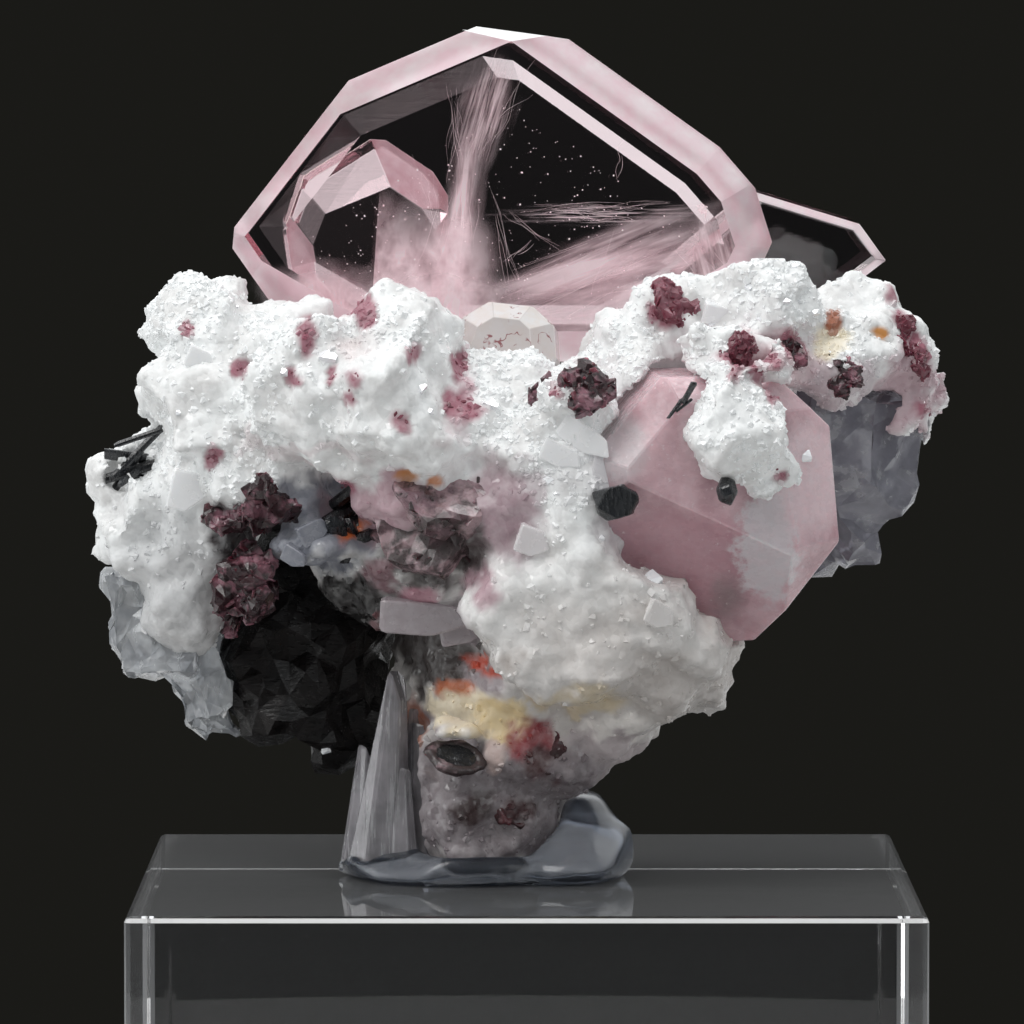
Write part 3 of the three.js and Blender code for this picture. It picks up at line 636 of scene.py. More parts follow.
def makeLepidolite(name, dark, middle, light, share):
    material, tree, shader = newMaterial(name, {
        "IOR": 1.56, "Coat Weight": 0.2, "Subsurface Weight": 0.25,
        "Subsurface Radius": (1.0, 0.4, 0.5), "Subsurface Scale": 0.6 * mm,
    })
    # the tone is random, and on the books it also rises towards the top, so their tops are painted lighter as if lit
    # from above
    tone = addNode(tree, "Attribute", {"attribute_name": "tone"})
    cloud = addGroup(tree, mottle, {"Size": 1.1, "Low": 0.42, "High": 0.58})
    flake = addGroup(tree, mottle, {"Size": 0.16, "Low": 0.3, "High": 0.7})
    patch = addGroup(tree, mottle, {"Size": 1.5, "Low": 0.50, "High": 0.64})
    some = addNode(tree, "MapRange", None, {"From Min": 0.45, "From Max": 0.85})
    few = addNode(tree, "MapRange", None, {"From Min": 0.80, "From Max": 0.95})
    tree.links.new(tone.outputs["Fac"], some.inputs["Value"])
    tree.links.new(tone.outputs["Fac"], few.inputs["Value"])
    colour = mixed(tree, some.outputs["Result"], dark, middle)
    colour = mixed(tree, scaledBy(tree, cloud.outputs["Mask"], 0.7), colour, dark)
    colour = mixed(tree, scaledBy(tree, patch.outputs["Mask"], share), colour, light)
    colour = mixed(tree, scaledBy(tree, few.outputs["Result"], 0.9), colour, light)
    tree.links.new(colour, shader.inputs["Base Color"])
    tree.links.new(ranged(tree, flake.outputs["Mask"], 0.2, 0.55), shader.inputs["Roughness"])
    bumped(tree, shader, [(flake.outputs["Height"], 0.04, 0.6)])
    return material


def makeTack():
    material, tree, shader = newMaterial("tack", {
        "IOR": 1.42, "Transmission Weight": 0.86, "Subsurface Weight": 0.3,
        "Subsurface Radius": (0.8, 0.9, 1.0), "Subsurface Scale": 2.0 * mm,
    })
    cloud = addGroup(tree, mottle, {"Size": 2.4, "Low": 0.35, "High": 0.65})
    smear = addGroup(tree, mottle, {"Size": 0.7, "Low": 0.35, "High": 0.65})
    colour = mixed(tree, cloud.outputs["Mask"], (0.14, 0.16, 0.20), (0.22, 0.24, 0.29))
    tree.links.new(colour, shader.inputs["Base Color"])
    tree.links.new(ranged(tree, smear.outputs["Mask"], 0.08, 0.25), shader.inputs["Roughness"])
    bumped(tree, shader, [(smear.outputs["Height"], 0.1, 0.2)])
    return material


def makeAcrylic():
    material, tree, shader = newMaterial("acrylic", {
        "Base Color": (0.97, 0.98, 0.99, 1), "IOR": 1.49, "Transmission Weight": 0.985,
        "Sheen Weight": 0.15, "Sheen Roughness": 0.4,
    })
    smear = addGroup(tree, mottle, {"Size": 6.0, "Low": 0.5, "High": 0.8, "Stretch": (2, 1, 1)})
    dust = addGroup(tree, mottle, {"Size": 0.25, "Low": 0.74, "High": 0.78})
    rough = addNode(tree, "Math", {"operation": "ADD"})
    tree.links.new(scaledBy(tree, smear.outputs["Mask"], 0.02), rough.inputs[0])
    tree.links.new(scaledBy(tree, dust.outputs["Mask"], 0.4), rough.inputs[1])
    tree.links.new(rough.outputs[0], shader.inputs["Roughness"])
    return material


def makeVeil(name, colour, stretch, size, shown, density):
    # a fracture film: see-through where it fades, pale where it scatters, its fibres along its own length; it glows in
    # its own colour, painted light in place of the light the crystal keeps from it
    material, tree, shader = newMaterial(name, {"Roughness": 0.8, "IOR": 1.2, "Emission Strength": 0.27})
    flow = addNode(tree, "Attribute", {"attribute_name": "flow"})
    scaled = addNode(tree, "VectorMath", {"operation": "DIVIDE"})
    scaled.inputs[1].default_value = [size * share for share in stretch]
    fibre = addNode(tree, "TexNoise", None, {"Scale": 1.0, "Detail": 3, "Roughness": 0.6, "Distortion": 0.25})
    level = addNode(tree, "MapRange", None, {"From Min": shown[0], "From Max": shown[1]})
    fade = addNode(tree, "Attribute", {"attribute_name": "fade"})
    product = addNode(tree, "Math", {"operation": "MULTIPLY"})
    tree.links.new(flow.outputs["Vector"], scaled.inputs[0])
    tree.links.new(scaled.outputs[0], fibre.inputs["Vector"])
    tree.links.new(fibre.outputs["Fac"], level.inputs["Value"])
    shade = mixed(tree, level.outputs["Result"], colour, (0.98, 0.91, 0.93))
    tree.links.new(shade, shader.inputs["Base Color"])
    tree.links.new(shade, shader.inputs["Emission Color"])
    tree.links.new(level.outputs["Result"], product.inputs[0])
    tree.links.new(fade.outputs["Fac"], product.inputs[1])
    tree.links.new(scaledBy(tree, product.outputs[0], density), shader.inputs["Alpha"])
    return material


def makeThread(name, colour):
    # threads and specks glow in their own colour: painted light in place of the light the crystal keeps from them
    material, tree, shader = newMaterial(name, {"Roughness": 0.4, "IOR": 1.3, "Emission Strength": 0.4})
    cloud = addGroup(tree, mottle, {"Size": 0.9, "Low": 0.42, "High": 0.62})
    shade = mixed(tree, cloud.outputs["Mask"], colour, (0.98, 0.95, 0.96))
    tree.links.new(shade, shader.inputs["Base Color"])
    tree.links.new(shade, shader.inputs["Emission Color"])
    return material


def makeFloor():
    material, tree, shader = newMaterial("paleFloor", {"Roughness": 0.7})
    cloud = addGroup(tree, mottle, {"Size": 12, "Low": 0.3, "High": 0.7})
    tree.links.new(mixed(tree, cloud.outputs["Mask"], (0.66, 0.65, 0.64), (0.62, 0.61, 0.60)), shader.inputs["Base Color"])
    return material


albite = makeAlbite()
sugar = makeSugar("albiteSugar", (0.81, 0.83, 0.835), (0.89, 0.905, 0.91), 0.0, 0.0)
bladeAlbite = makeSugar("albiteBlades", (0.80, 0.81, 0.82), (0.90, 0.91, 0.92), 0.1, 0.6)
glint = makeGlint()
clearMorganite = makeClearMorganite("clearMorganite", 60, (0.93, 0.68, 0.73))
rimMorganite = makeRimMorganite("rimMorganite", (0.94, 0.70, 0.76), (0.97, 0.88, 0.90), 0.55, 2.0)
# a facet painted near white: a painted highlight
paintedHighlightFacet = makeRimMorganite("paintedHighlightFacet", (0.97, 0.97, 0.98), (0.93, 0.92, 0.93), 0.05, 1.4)
creamMorganite = makeRimMorganite("creamMorganite", (0.97, 0.93, 0.86), (0.95, 0.82, 0.80), 0.4, 1.8)
pinkMorganite = makeRimMorganite("pinkMorganite", (0.90, 0.66, 0.71), (0.74, 0.42, 0.48), 0.5, 1.2)
roseMorganite = makeRoseMorganite()
paleMorganite = makePaleMorganite()
leftQuartzMaterial = makeQuartz("glassyFeldspar", (0.44, 0.46, 0.49), (0.62, 0.64, 0.66), 0.5, (0.6, 1, 2.4))
rightQuartzMaterial = makeQuartz("greyQuartz", (0.30, 0.30, 0.35), (0.44, 0.44, 0.50), 0.5, (1.6, 1, 1.2))
footQuartzMaterial = makeQuartz("bladedQuartz", (0.34, 0.33, 0.35), (0.52, 0.50, 0.53), 0.5, (0.3, 1, 6))
smokyMaterial = makeDark("smokyQuartz", (0.004, 0.0035, 0.0035), (0.010, 0.008, 0.008), (3, 1, 1), (0.15, 0.5), 1.36)
schorlMaterial = makeDark("schorl", (0.006, 0.007, 0.008), (0.018, 0.020, 0.024), (1, 1, 4), (0.12, 0.4), 1.62)
lepidoliteMaterial = makeLepidolite("lepidolite", (0.022, 0.006, 0.009), (0.26, 0.036, 0.066), (0.64, 0.30, 0.38), 0.4)
maroonMica = makeLepidolite("maroonMica", (0.035, 0.010, 0.012), (0.10, 0.022, 0.028), (0.30, 0.11, 0.13), 0.25)
lilacMica = makeLepidolite("lilacMica", (0.05, 0.034, 0.035), (0.30, 0.17, 0.205), (0.60, 0.43, 0.46), 0.6)
smudgeMica = makeLepidolite("smudgeMica", (0.16, 0.03, 0.05), (0.28, 0.07, 0.11), (0.50, 0.25, 0.30), 0.3)
tackMaterial = makeTack()
acrylicMaterial = makeAcrylic()
# veil stuffs: colour, stretch and size of the fibres, the noise range that shows, and how dense it is
veilStuffs = {
    "column": makeVeil("veilColumn", (0.90, 0.64, 0.69), (0.5, 1, 5), 0.8, (0.15, 0.6), 1.0),
    "cloud": makeVeil("veilCloud", (0.90, 0.62, 0.68), (1, 1, 1.4), 1.8, (0.1, 0.6), 1.0),
    "plume": makeVeil("veilPlume", (0.90, 0.68, 0.73), (0.4, 1, 7), 0.6, (0.34, 0.64), 0.9),
    "streak": makeVeil("veilStreak", (0.86, 0.64, 0.69), (12, 1, 1.3), 0.7, (0.28, 0.62), 1.0),
    "wisp": makeVeil("veilWisp", (0.95, 0.88, 0.90), (9, 1, 0.3), 0.5, (0.48, 0.68), 1.0),
    "smoke": makeVeil("veilSmoke", (0.72, 0.56, 0.60), (5, 1, 0.8), 1.6, (0.2, 0.65), 0.85),
}
threadMaterial = makeThread("veilThread", (0.94, 0.82, 0.85))
say("materials made")

# ---- matrix: sugary albite, a rough mass of rounded knobs

albiteMass = {
    "voxel": 0.35, "smoothing": 5,
    "knobs": [(2.8, 1.0, 0.42), (1.2, 0.42, 0.42), (0.55, 0.16, 0.4)],  # size, height, share pushed inwards
}


def displace(piece, kind, size, height, middle):
    texture = bpy.data.textures.new("%s%g" % (kind.lower(), size), kind)
    texture.noise_scale = size * mm
    modifier = piece.modifiers.new("displace", "DISPLACE")
    modifier.texture = texture
    modifier.texture_coords = "LOCAL"
    modifier.strength = height * mm
    modifier.mid_level = middle


def keepInside(piece, node):
    # no corner goes past the node's own box
    low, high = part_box(node)
    for vertex in piece.data.vertices:
        vertex.co = [min(max(vertex.co[i], low[i]), high[i]) for i in range(3)]


# books that are smaller than their solids: the point they shrink towards, and how much is left
smallerBooks = {
    "lepidolite_top": ((9.7, -9.4, 62.3), (0.42, 0.8, 0.62)),
    "lepidolite_ledge": ((13.0, -14.2, 59.6), (0.45, 0.75, 0.55)),
    "lepidolite_right_inner": ((17.8, -9.9, 59.0), (0.5, 0.9, 0.8)),
    "lepidolite_right_outer": ((19.6, -9.4, 57.3), (0.6, 0.85, 0.62)),
    "lepidolite_far_right": ((25.2, -5.0, 59.8), (0.5, 0.9, 0.9)),
    "lepidolite_left_upper": ((-17.2, -10.0, 50.8), (0.74, 0.9, 0.88)),
}

# more masses that join the matrix: middle and half widths
albiteFill = [
    ((2.6, -10.4, 50.2), (3.8, 5.2, 5.8)), ((3.8, -11.4, 46.6), (2.8, 4.4, 3.0)),
    ((15.4, -13.2, 50.8), (1.8, 2.2, 1.8)),
    ((-6.8, -8.6, 50.6), (4.5, 4.8, 3.4)), ((-1.6, -9.6, 49.4), (4.2, 4.8, 3.6)), ((-6.4, -6.0, 45.8), (5.0, 4.6, 3.0)),
    ((-20.8, -2.0, 49.2), (4.0, 4.8, 6.0)), ((-22.0, -1.4, 43.6), (3.2, 4.4, 4.6)), ((-17.0, -5.0, 51.6), (4.4, 4.6, 3.4)),
    ((8.8, -8.4, 39.4), (3.4, 4.4, 3.8)), ((0.6, -9.2, 45.0), (3.4, 4.6, 3.4)), ((13.2, -14.6, 54.4), (3.6, 3.2, 3.4)),
    ((8.0, -12.2, 42.8), (3.0, 3.2, 3.2)), ((11.0, -11.0, 40.6), (2.4, 3.0, 2.4)), ((4.2, -3.6, 34.6), (2.5, 3.0, 2.5)),
    ((3.0, -13.0, 57.0), (2.6, 2.2, 2.0)), ((-0.6, -6.4, 33.4), (3.0, 2.6, 2.6)), ((-2.8, -6.0, 30.0), (3.4, 2.4, 2.2)),
    ((5.2, -6.0, 34.3), (2.1, 2.6, 1.9)), ((-4.6, -8.2, 35.1), (1.9, 1.3, 0.8)), ((2.8, -5.8, 33.0), (2.4, 2.6, 2.6)),
    ((-14.4, -6.4, 49.6), (1.8, 2.6, 2.0)), ((-13.4, -7.4, 46.9), (3.2, 2.6, 1.5)),
]
# hollows pressed back so that the rose crystal shows: middle and half widths
albiteHollows = [
    ((20.6, -15, 46.0), (3.2, 9, 6.2)), ((19.8, -15, 51.4), (2.6, 9, 4.0)), ((8.4, -15, 51.2), (2.6, 9, 3.6)),
    ((14.6, -15, 42.6), (2.6, 10, 2.8)), ((9.8, -16, 47.4), (3.6, 8, 2.8)), ((15.2, -15, 45.8), (3.4, 9, 4.6)),
    ((13.0, -16, 48.4), (2.8, 8, 2.2)), ((17.4, -15, 48.6), (2.6, 9, 2.7)),
]


def pressBack(piece, centre, half):
    # corners inside the hollow move to its back wall
    for vertex in piece.data.vertices:
        across = (vertex.co.x / mm - centre.x) / half.x
        up = (vertex.co.z / mm - centre.z) / half.z
        inside = 1 - across * across - up * up
        if inside > 0:
            wall = centre.y + half.y * math.sqrt(inside)
            if vertex.co.y / mm < wall:
                vertex.co.y = wall * mm


def buildMatrix():
    piece = copyOfNode("albite_matrix", "albiteMass")
    lumps = []
    fill = list(albiteFill)
    # the hollow of the book left out here is darkened with painted shade from the stain table
    for nodeName in list(smallerBooks)[:-1]:  # the last one stays in its dark hollow
        low, high = [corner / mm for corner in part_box(nodeName)]
        fill.append(((low + high) / 2 + Vector((0, 1.1, 0)), (high - low) * 0.5))
    for centre, half in fill:
        bpy.ops.mesh.primitive_ico_sphere_add(subdivisions=3, radius=1, location=Vector(centre) * mm, scale=Vector(half) * mm)
        lumps.append(bpy.context.object)
    onlySelect(piece, *lumps)
    bpy.ops.object.join()
    remesh = piece.modifiers.new("remesh", "REMESH")
    remesh.mode = "VOXEL"
    remesh.voxel_size = albiteMass["voxel"] * mm
    smooth = piece.modifiers.new("smooth", "SMOOTH")
    smooth.iterations = albiteMass["smoothing"]
    for size, height, middle in albiteMass["knobs"]:
        displace(piece, "VORONOI", size, -height, middle)
    displace(piece, "CLOUDS", 0.8, 0.16, 0.5)
    applyModifiers(piece)
    for centre, half in albiteHollows:
        pressBack(piece, Vector(centre), Vector(half))
    keepInside(piece, "albite_matrix")
    bpy.ops.object.shade_smooth()
    paintStainAndShade(piece.data, stainAndShadeOf([v.co[:] for v in piece.data.vertices]))
    dress(piece, [albite], ["albite_matrix"])
    return piece


matrixPiece = buildMatrix()
matrixTree = surfaceTree(matrixPiece)
say("matrix: %d faces" % len(matrixPiece.data.polygons))


# ---- grains of albite on the matrix

albiteGrains = {"count": 15000, "size": (0.15, 0.44), "coarseFrom": 0.22, "seed": 11}


def modelGrain():
    # a cleaved chip: a cube with two corners cut off
    bpy.ops.mesh.primitive_cube_add(size=1 * mm, location=(0, 0, 0))
    chip = bpy.context.object
    chip.name = "grainChip"
    inEditMode(chip)
    bpy.ops.mesh.bisect(plane_co=(0.3 * mm, 0.3 * mm, 0.25 * mm), plane_no=(1, 1, 0.8), use_fill=True, clear_outer=True)
    bpy.ops.mesh.select_all(action="SELECT")
    bpy.ops.mesh.bisect(plane_co=(-0.25 * mm, 0.2 * mm, 0.3 * mm), plane_no=(-1, 0.4, 0.9), use_fill=True, clear_outer=True)
    leaveEditMode()
    return chip


def faceData(piece):
    count = len(piece.data.polygons)
    centres, normals, areas = np.zeros(count * 3), np.zeros(count * 3), np.zeros(count)
    piece.data.polygons.foreach_get("center", centres)
    piece.data.polygons.foreach_get("normal", normals)
    piece.data.polygons.foreach_get("area", areas)
    return centres.reshape(-1, 3), normals.reshape(-1, 3), areas


def outerPlaces(piece, tree, count, seed, liking):
    # random faces that see open air, more often where liking says so
    centres, normals, areas = faceData(piece)
    weight = areas * np.array([liking(c, n) for c, n in zip(centres / mm, normals)])
    picker = np.random.default_rng(seed)
    picks = picker.choice(len(areas), size=count, p=weight / weight.sum())
    found = []
    for pick in picks:
        centre, normal = Vector(centres[pick]), Vector(normals[pick])
        hit = tree.ray_cast(centre + normal * 0.3 * mm, normal, 7 * mm)[0]
        if hit is None:
            found.append((centre, normal))
    return found


def standing(place, normal, rng, size, tilt, sink):
    # a matrix that stands a copy on a surface, turned at random about the normal
    up = (normal + Vector([rng.uniform(-tilt, tilt) for _ in range(3)])).normalized()
    turn = up.to_track_quat("Z", "Y").to_matrix().to_4x4() @ Matrix.Rotation(rng.uniform(0, 6.283), 4, "Z")
    return Matrix.Translation(place - normal * sink * mm) @ turn @ Matrix.Diagonal((*size, 1))


def grainLiking(centre, normal):
    # crowded on the top, and in patches, with few lower down
    patch = float(smoothed(0.5 + 2.2 * noise.noise(Vector(centre) * 0.2)))
    upward = 0.5 + 0.8 * max(normal[2], 0) + 0.5 * max(-normal[1], 0)
    low = 0.2 if centre[2] < 50 or (-16 < centre[0] < -4 and centre[2] < 60) else 1
    return upward * low * (0.1 + patch)


def buildGrains():
    # fine and coarse grains, each a piece of its own
    chip = modelGrain()
    rng = random.Random(albiteGrains["seed"])
    low, high = albiteGrains["size"]
    kinds = {"albiteSugarFine": [], "albiteSugarCoarse": []}
    for place, normal in outerPlaces(matrixPiece, matrixTree, albiteGrains["count"], albiteGrains["seed"], grainLiking):
        size = low + (high - low) * rng.random() ** 2
        shape = [size * rng.uniform(0.7, 1.3) for _ in range(3)]
        kind = "albiteSugarFine" if size < albiteGrains["coarseFrom"] else "albiteSugarCoarse"
        kinds[kind].append(standing(place, normal, rng, shape, 0.9, 0.18 * size))
    for pieceName, places in kinds.items():
        piece = joinedCopies(chip, pieceName, places)
        keepInside(piece, "albite_matrix")
        dress(piece, [sugar])
        say("%s: %d grains" % (pieceName, len(places)))
    removePiece(chip)


buildGrains()

# slabs of platy albite: x, z, how far in front of the surface, length, height, thickness and turn
albiteBlades = [
    (6.6, 55.9, 0.1, 3.2, 1.1, 0.7, (20, 10, -6)), (5.4, 54.9, 0.2, 2.4, 0.9, 0.6, (10, -12, 8)),
    (3.9, 53.9, 0.2, 3.8, 1.7, 0.8, (12, 34, -12)), (2.2, 52.8, 0.1, 2.8, 1.4, 0.8, (0, 26, 10)),
    (5.2, 51.9, 0.1, 2.2, 2.8, 0.8, (-6, 8, 16)), (6.0, 53.4, 0.0, 1.8, 2.0, 0.7, (4, 20, 24)),
    (7.6, 57.2, 0.1, 1.6, 1.2, 0.8, (10, 8, 30)), (4.4, 56.6, 0.1, 1.8, 1.0, 0.8, (18, -20, 20)),
    (-13.6, 48.0, 0.1, 2.2, 1.4, 1.2, (0, -24, 20)), (-14.6, 46.4, 0.1, 1.8, 1.2, 1.0, (14, 30, -20)),
    (-6.3, 42.6, 0.4, 6.0, 2.2, 1.6, (14, 4, -4)), (-4.0, 41.6, 0.3, 3.2, 1.2, 1.4, (10, -10, 8)),
    (12.0, 62.0, 0.1, 1.8, 1.4, 1.0, (30, 10, 20)), (-20.8, 59.0, 0.1, 1.8, 1.4, 1.0, (10, 24, 10)),
    (3.2, 60.7, 0.1, 1.2, 1.3, 0.9, (8, 8, 10)), (0.4, 47.4, 0.2, 2.2, 1.8, 1.2, (10, 20, 10)),
    (8.4, 42.6, 0.2, 2.0, 1.6, 1.2, (0, 30, 20)), (-21.6, 50.6, 0.2, 2.4, 2.6, 1.2, (6, 14, 10)),
]
# x, z and size of the cleavage faces that catch the light
brightFaces = [
    (-2.2, 56.1, 1.0), (8.0, 44.9, 1.0), (-17.1, 44.0, 1.0), (17.8, 52.8, 0.7), (-12.8, 34.0, 0.6), (1.4, 51.3, 0.5),
    (-6.1, 55.7, 0.5), (-15.4, 58.2, 0.6), (16.5, 62.7, 0.5), (-12.6, 59.2, 1.1), (-6.7, 57.1, 0.7), (18.4, 62.0, 0.5),
    (14.2, 63.6, 0.5), (11.8, 61.2, 0.4), (-22.2, 55.6, 0.4), (-24.0, 52.0, 0.4), (4.8, 47.6, 0.4), (-16.2, 61.4, 0.4),
]


def modelSlab():
    # a platy blade: a cube with its ends cleaved askew and its edges worn
    bpy.ops.mesh.primitive_cube_add(size=1 * mm, location=(0, 0, 0))
    slab = bpy.context.object
    slab.name = "slab"
    inEditMode(slab)
    for plane, normal in [((0.38, 0, 0), (1, 0.2, 0.35)), ((-0.4, 0, 0), (-1, 0.3, -0.25)), ((0, 0, 0.4), (0.3, 0.2, 1)), ((0.25, 0, -0.3), (0.8, 0.1, -1))]:
        bpy.ops.mesh.select_all(action="SELECT")
        bpy.ops.mesh.bisect(plane_co=Vector(plane) * mm, plane_no=normal, use_fill=True, clear_outer=True)
    bpy.ops.mesh.select_all(action="SELECT")
    bpy.ops.mesh.bevel(offset=0.05 * mm, segments=1)
    leaveEditMode()
    return slab


def buildBlades():
    slab = modelSlab()
    places = []
    for x, z, forward, length, height, thick, turn in albiteBlades:
        place = frontOf(matrixTree, x, z)[0]
        if place is not None:
            places.append(placeAt(place / mm - Vector((0, forward, 0)), turn, (length, thick, height)))
    piece = joinedCopies(slab, "albiteBlades", places)
    removePiece(slab)
    keepInside(piece, "albite_matrix")
    return dress(piece, [bladeAlbite])


def buildGlints():
    # small flat faces that lean halfway between the display side and the top lamp
    chip = modelGrain()
    rng = random.Random(17)
    places = []
    spots = list(brightFaces)
    for place, normal in outerPlaces(matrixPiece, matrixTree, 90, 23, grainLiking):
        if normal.y < -0.1 and place.z > 42 * mm:
            spots.append((place, rng.uniform(0.14, 0.34)))
    lean = Vector((0.09, -0.70, 0.71))
    for spot in spots:
        place = spot[0] if len(spot) == 2 else frontOf(stoneTree, spot[0], spot[1])[0]
        if place is None:
            continue
        size = spot[-1]
        up = (lean + Vector([rng.uniform(-0.03, 0.03) for _ in range(3)])).normalized()
        turn = up.to_track_quat("Z", "Y").to_matrix().to_4x4() @ Matrix.Rotation(rng.uniform(0, 6.283), 4, "Z")
        places.append(Matrix.Translation(place) @ turn @ Matrix.Diagonal((size, size * rng.uniform(0.6, 1), 0.5 * size, 1)))
    piece = joinedCopies(chip, "brightCleavages", places)
    removePiece(chip)
    keepInside(piece, "albite_matrix")
    return dress(piece, [glint])


buildBlades()
say("blades made")

def roughCopy(nodeName, pieceName, shape):
    # an etched surface: remeshed, then raised and lowered; a broken one is brought down to a few flat faces
    piece = copyOfNode(nodeName, pieceName)
    remesh = piece.modifiers.new("remesh", "REMESH")
    remesh.mode = "VOXEL"
    remesh.voxel_size = shape["voxel"] * mm
    if shape["smoothing"]:
        smooth = piece.modifiers.new("smooth", "SMOOTH")
        smooth.iterations = shape["smoothing"]
    for kind, size, height, middle in shape["relief"]:
        displace(piece, kind, size, height, middle)
    applyModifiers(piece)
    keepInside(piece, nodeName)
    if shape["faces"]:
        fewer = piece.modifiers.new("fewer", "DECIMATE")
        fewer.ratio = shape["faces"] / len(piece.data.polygons)
        applyModifiers(piece)
        bpy.ops.object.shade_smooth_by_angle(angle=math.radians(shape["sharp"]))
    else:
        bpy.ops.object.shade_smooth()
    return piece


# ---- lepidolite: books of thin plates in place of the plain ones, and loose flakes

lepidoliteBooks = {
    "voxel": 0.26, "rough": [(2.4, 1.6, 0.5), (1.1, 0.7, 0.5), (0.5, 0.3, 0.5)], "share": 0.3, "plates": 150, "size": (0.3, 1.1), "thick": 0.12,
    "nodes": ["lepidolite_left_upper", "lepidolite_left_lower", "lepidolite_top", "lepidolite_middle",
              "lepidolite_right_inner", "lepidolite_right_outer", "lepidolite_far_right", "lepidolite_ledge",
              "lepidolite_centre", "lepidolite_violet", "lepidolite_back"],
}


def modelPlate():
    # a six-sided plate with a smaller step on each side
    bpy.ops.mesh.primitive_cylinder_add(vertices=6, radius=0.5 * mm, depth=0.5 * mm, location=(0, 0, 0))
    plate = bpy.context.object
    plate.name = "micaPlate"
    inEditMode(plate)
    for side in (1, -1):
        selectFaces(plate, lambda centre, normal: normal.z * side > 0.9)
        bpy.ops.mesh.inset(thickness=0.07 * mm)
        bpy.ops.transform.translate(value=(0, 0, 0.12 * side * mm))
    leaveEditMode()
    return plate


def buildBook(plate, nodeName, seed):
    # a rough scaly core with small plates bedded in it at all angles
    lilac = nodeName in ("lepidolite_centre", "lepidolite_violet")
    core = copyOfNode(nodeName, "micaCore")
    towards, left = smallerBooks.get(nodeName, ((0, 0, 0), (1, 1, 1)))
    for vertex in core.data.vertices:
        vertex.co = [(towards[i] + (vertex.co[i] / mm - towards[i]) * left[i]) * mm for i in range(3)]
    remesh = core.modifiers.new("remesh", "REMESH")
    remesh.mode = "VOXEL"
    remesh.voxel_size = lepidoliteBooks["voxel"] * mm
    for size, height, middle in lepidoliteBooks["rough"]:
        displace(core, "VORONOI", size, -height * (0.3 if lilac else 1), middle)
    fewer = core.modifiers.new("fewer", "DECIMATE")
    fewer.ratio = lepidoliteBooks["share"] * (0.25 if lilac else 1)
    applyModifiers(core)
    bpy.ops.object.shade_flat()
    rng = random.Random(seed)
    low, high = lepidoliteBooks["size"]
    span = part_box(nodeName)[1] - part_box(nodeName)[0]
    largest = min(1.0, 0.45 * min(span) / mm) * left[0] ** 0.5
    places, tones = [], []
    for place, normal in outerPlaces(core, surfaceTree(core), lepidoliteBooks["plates"], seed, lambda c, n: 1):
        size = (low + (high - low) * rng.random() ** 2) * largest
        shape = (size * rng.uniform(0.7, 1.5), size * rng.uniform(0.6, 1.1), lepidoliteBooks["thick"] * rng.uniform(0.8, 2.4))
        places.append(standing(place, normal, rng, shape, 1.1, 0.1 * size))
        # higher plates get higher tones: the top of the book is painted lighter, as if lit from above
        tones.append(rng.random() * (0.4 + 0.6 * (place.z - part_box(nodeName)[0].z) / span.z))
    pieceName = nodeName.replace("lepidolite_", "micaBook_")
    piece = joinedCopies(plate, pieceName, places, tones)
    # the lilac cores also get lighter towards the top: painted light from above
    coreTone = core.data.attributes.new("tone", "FLOAT", "POINT")
    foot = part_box(nodeName)[0].z
    coreTone.data.foreach_set("value", [
        (0.25 + 0.6 * (v.co.z - foot) / span.z if lilac else 0.35) + 0.5 * noise.noise(v.co * 900) for v in core.data.vertices
    ])
    onlySelect(piece, core)
    bpy.ops.object.join()
    keepInside(piece, nodeName)
    pale = nodeName in ("lepidolite_top", "lepidolite_ledge", "lepidolite_far_right")
    return dress(piece, [lilacMica if lilac else smudgeMica if pale else lepidoliteMaterial], [nodeName])


def buildFlakes(plate):
    # small plates in the raspberry smudges
    rng = random.Random(5)
    places = []
    for x, z, size in raspberrySpots:
        for _ in range(int(1 + 3 * size)):
            place, normal = frontOf(matrixTree, x + rng.gauss(0, 0.3) * size, z + rng.gauss(0, 0.3) * size)
            if place is None:
                continue
            shape = (size * rng.uniform(0.3, 0.8), size * rng.uniform(0.2, 0.6), 0.16)
            places.append(standing(place, normal, rng, shape, 0.5, 0.03))
    return dress(joinedCopies(plate, "micaFlakes", places, [0.9 * rng.random() for _ in places]), [smudgeMica])


# the eye at the foot: a dark glassy middle in a ring of pink mica
footEye = {"at": (-4.5, -8.5, 33.4), "ring": 1.25, "thick": 0.32, "flat": (1.25, 0.8, 0.85), "turn": (-48, 14, 0)}


def buildEye():
    bpy.ops.mesh.primitive_torus_add(major_segments=40, minor_segments=10, major_radius=footEye["ring"] * mm, minor_radius=footEye["thick"] * mm, location=(0, 0, 0), rotation=(math.radians(90), 0, 0))
    ring = bpy.context.object
    ring.name = "micaBook_foot_left"
    bpy.ops.mesh.primitive_uv_sphere_add(segments=32, ring_count=16, radius=footEye["ring"] * mm, location=(0, 0, 0))
    middle = bpy.context.object
    middle.scale = (1, 0.3, 1)
    for piece, material in ((ring, lilacMica), (middle, schorlMaterial)):
        applyPlace(piece)
        piece.data.materials.append(material)
        displace(piece, "CLOUDS", 1.0, 0.7, 0.5)
        displace(piece, "CLOUDS", 0.4, 0.2, 0.5)
        applyModifiers(piece)
    onlySelect(ring, middle)
    bpy.ops.object.join()
    ring.scale = footEye["flat"]
    ring.rotation_euler = [math.radians(a) for a in footEye["turn"]]
    ring.location = Vector(footEye["at"]) * mm
    applyPlace(ring)
    bpy.ops.object.shade_smooth()
    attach(ring, "root")
    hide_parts("lepidolite_foot_left")


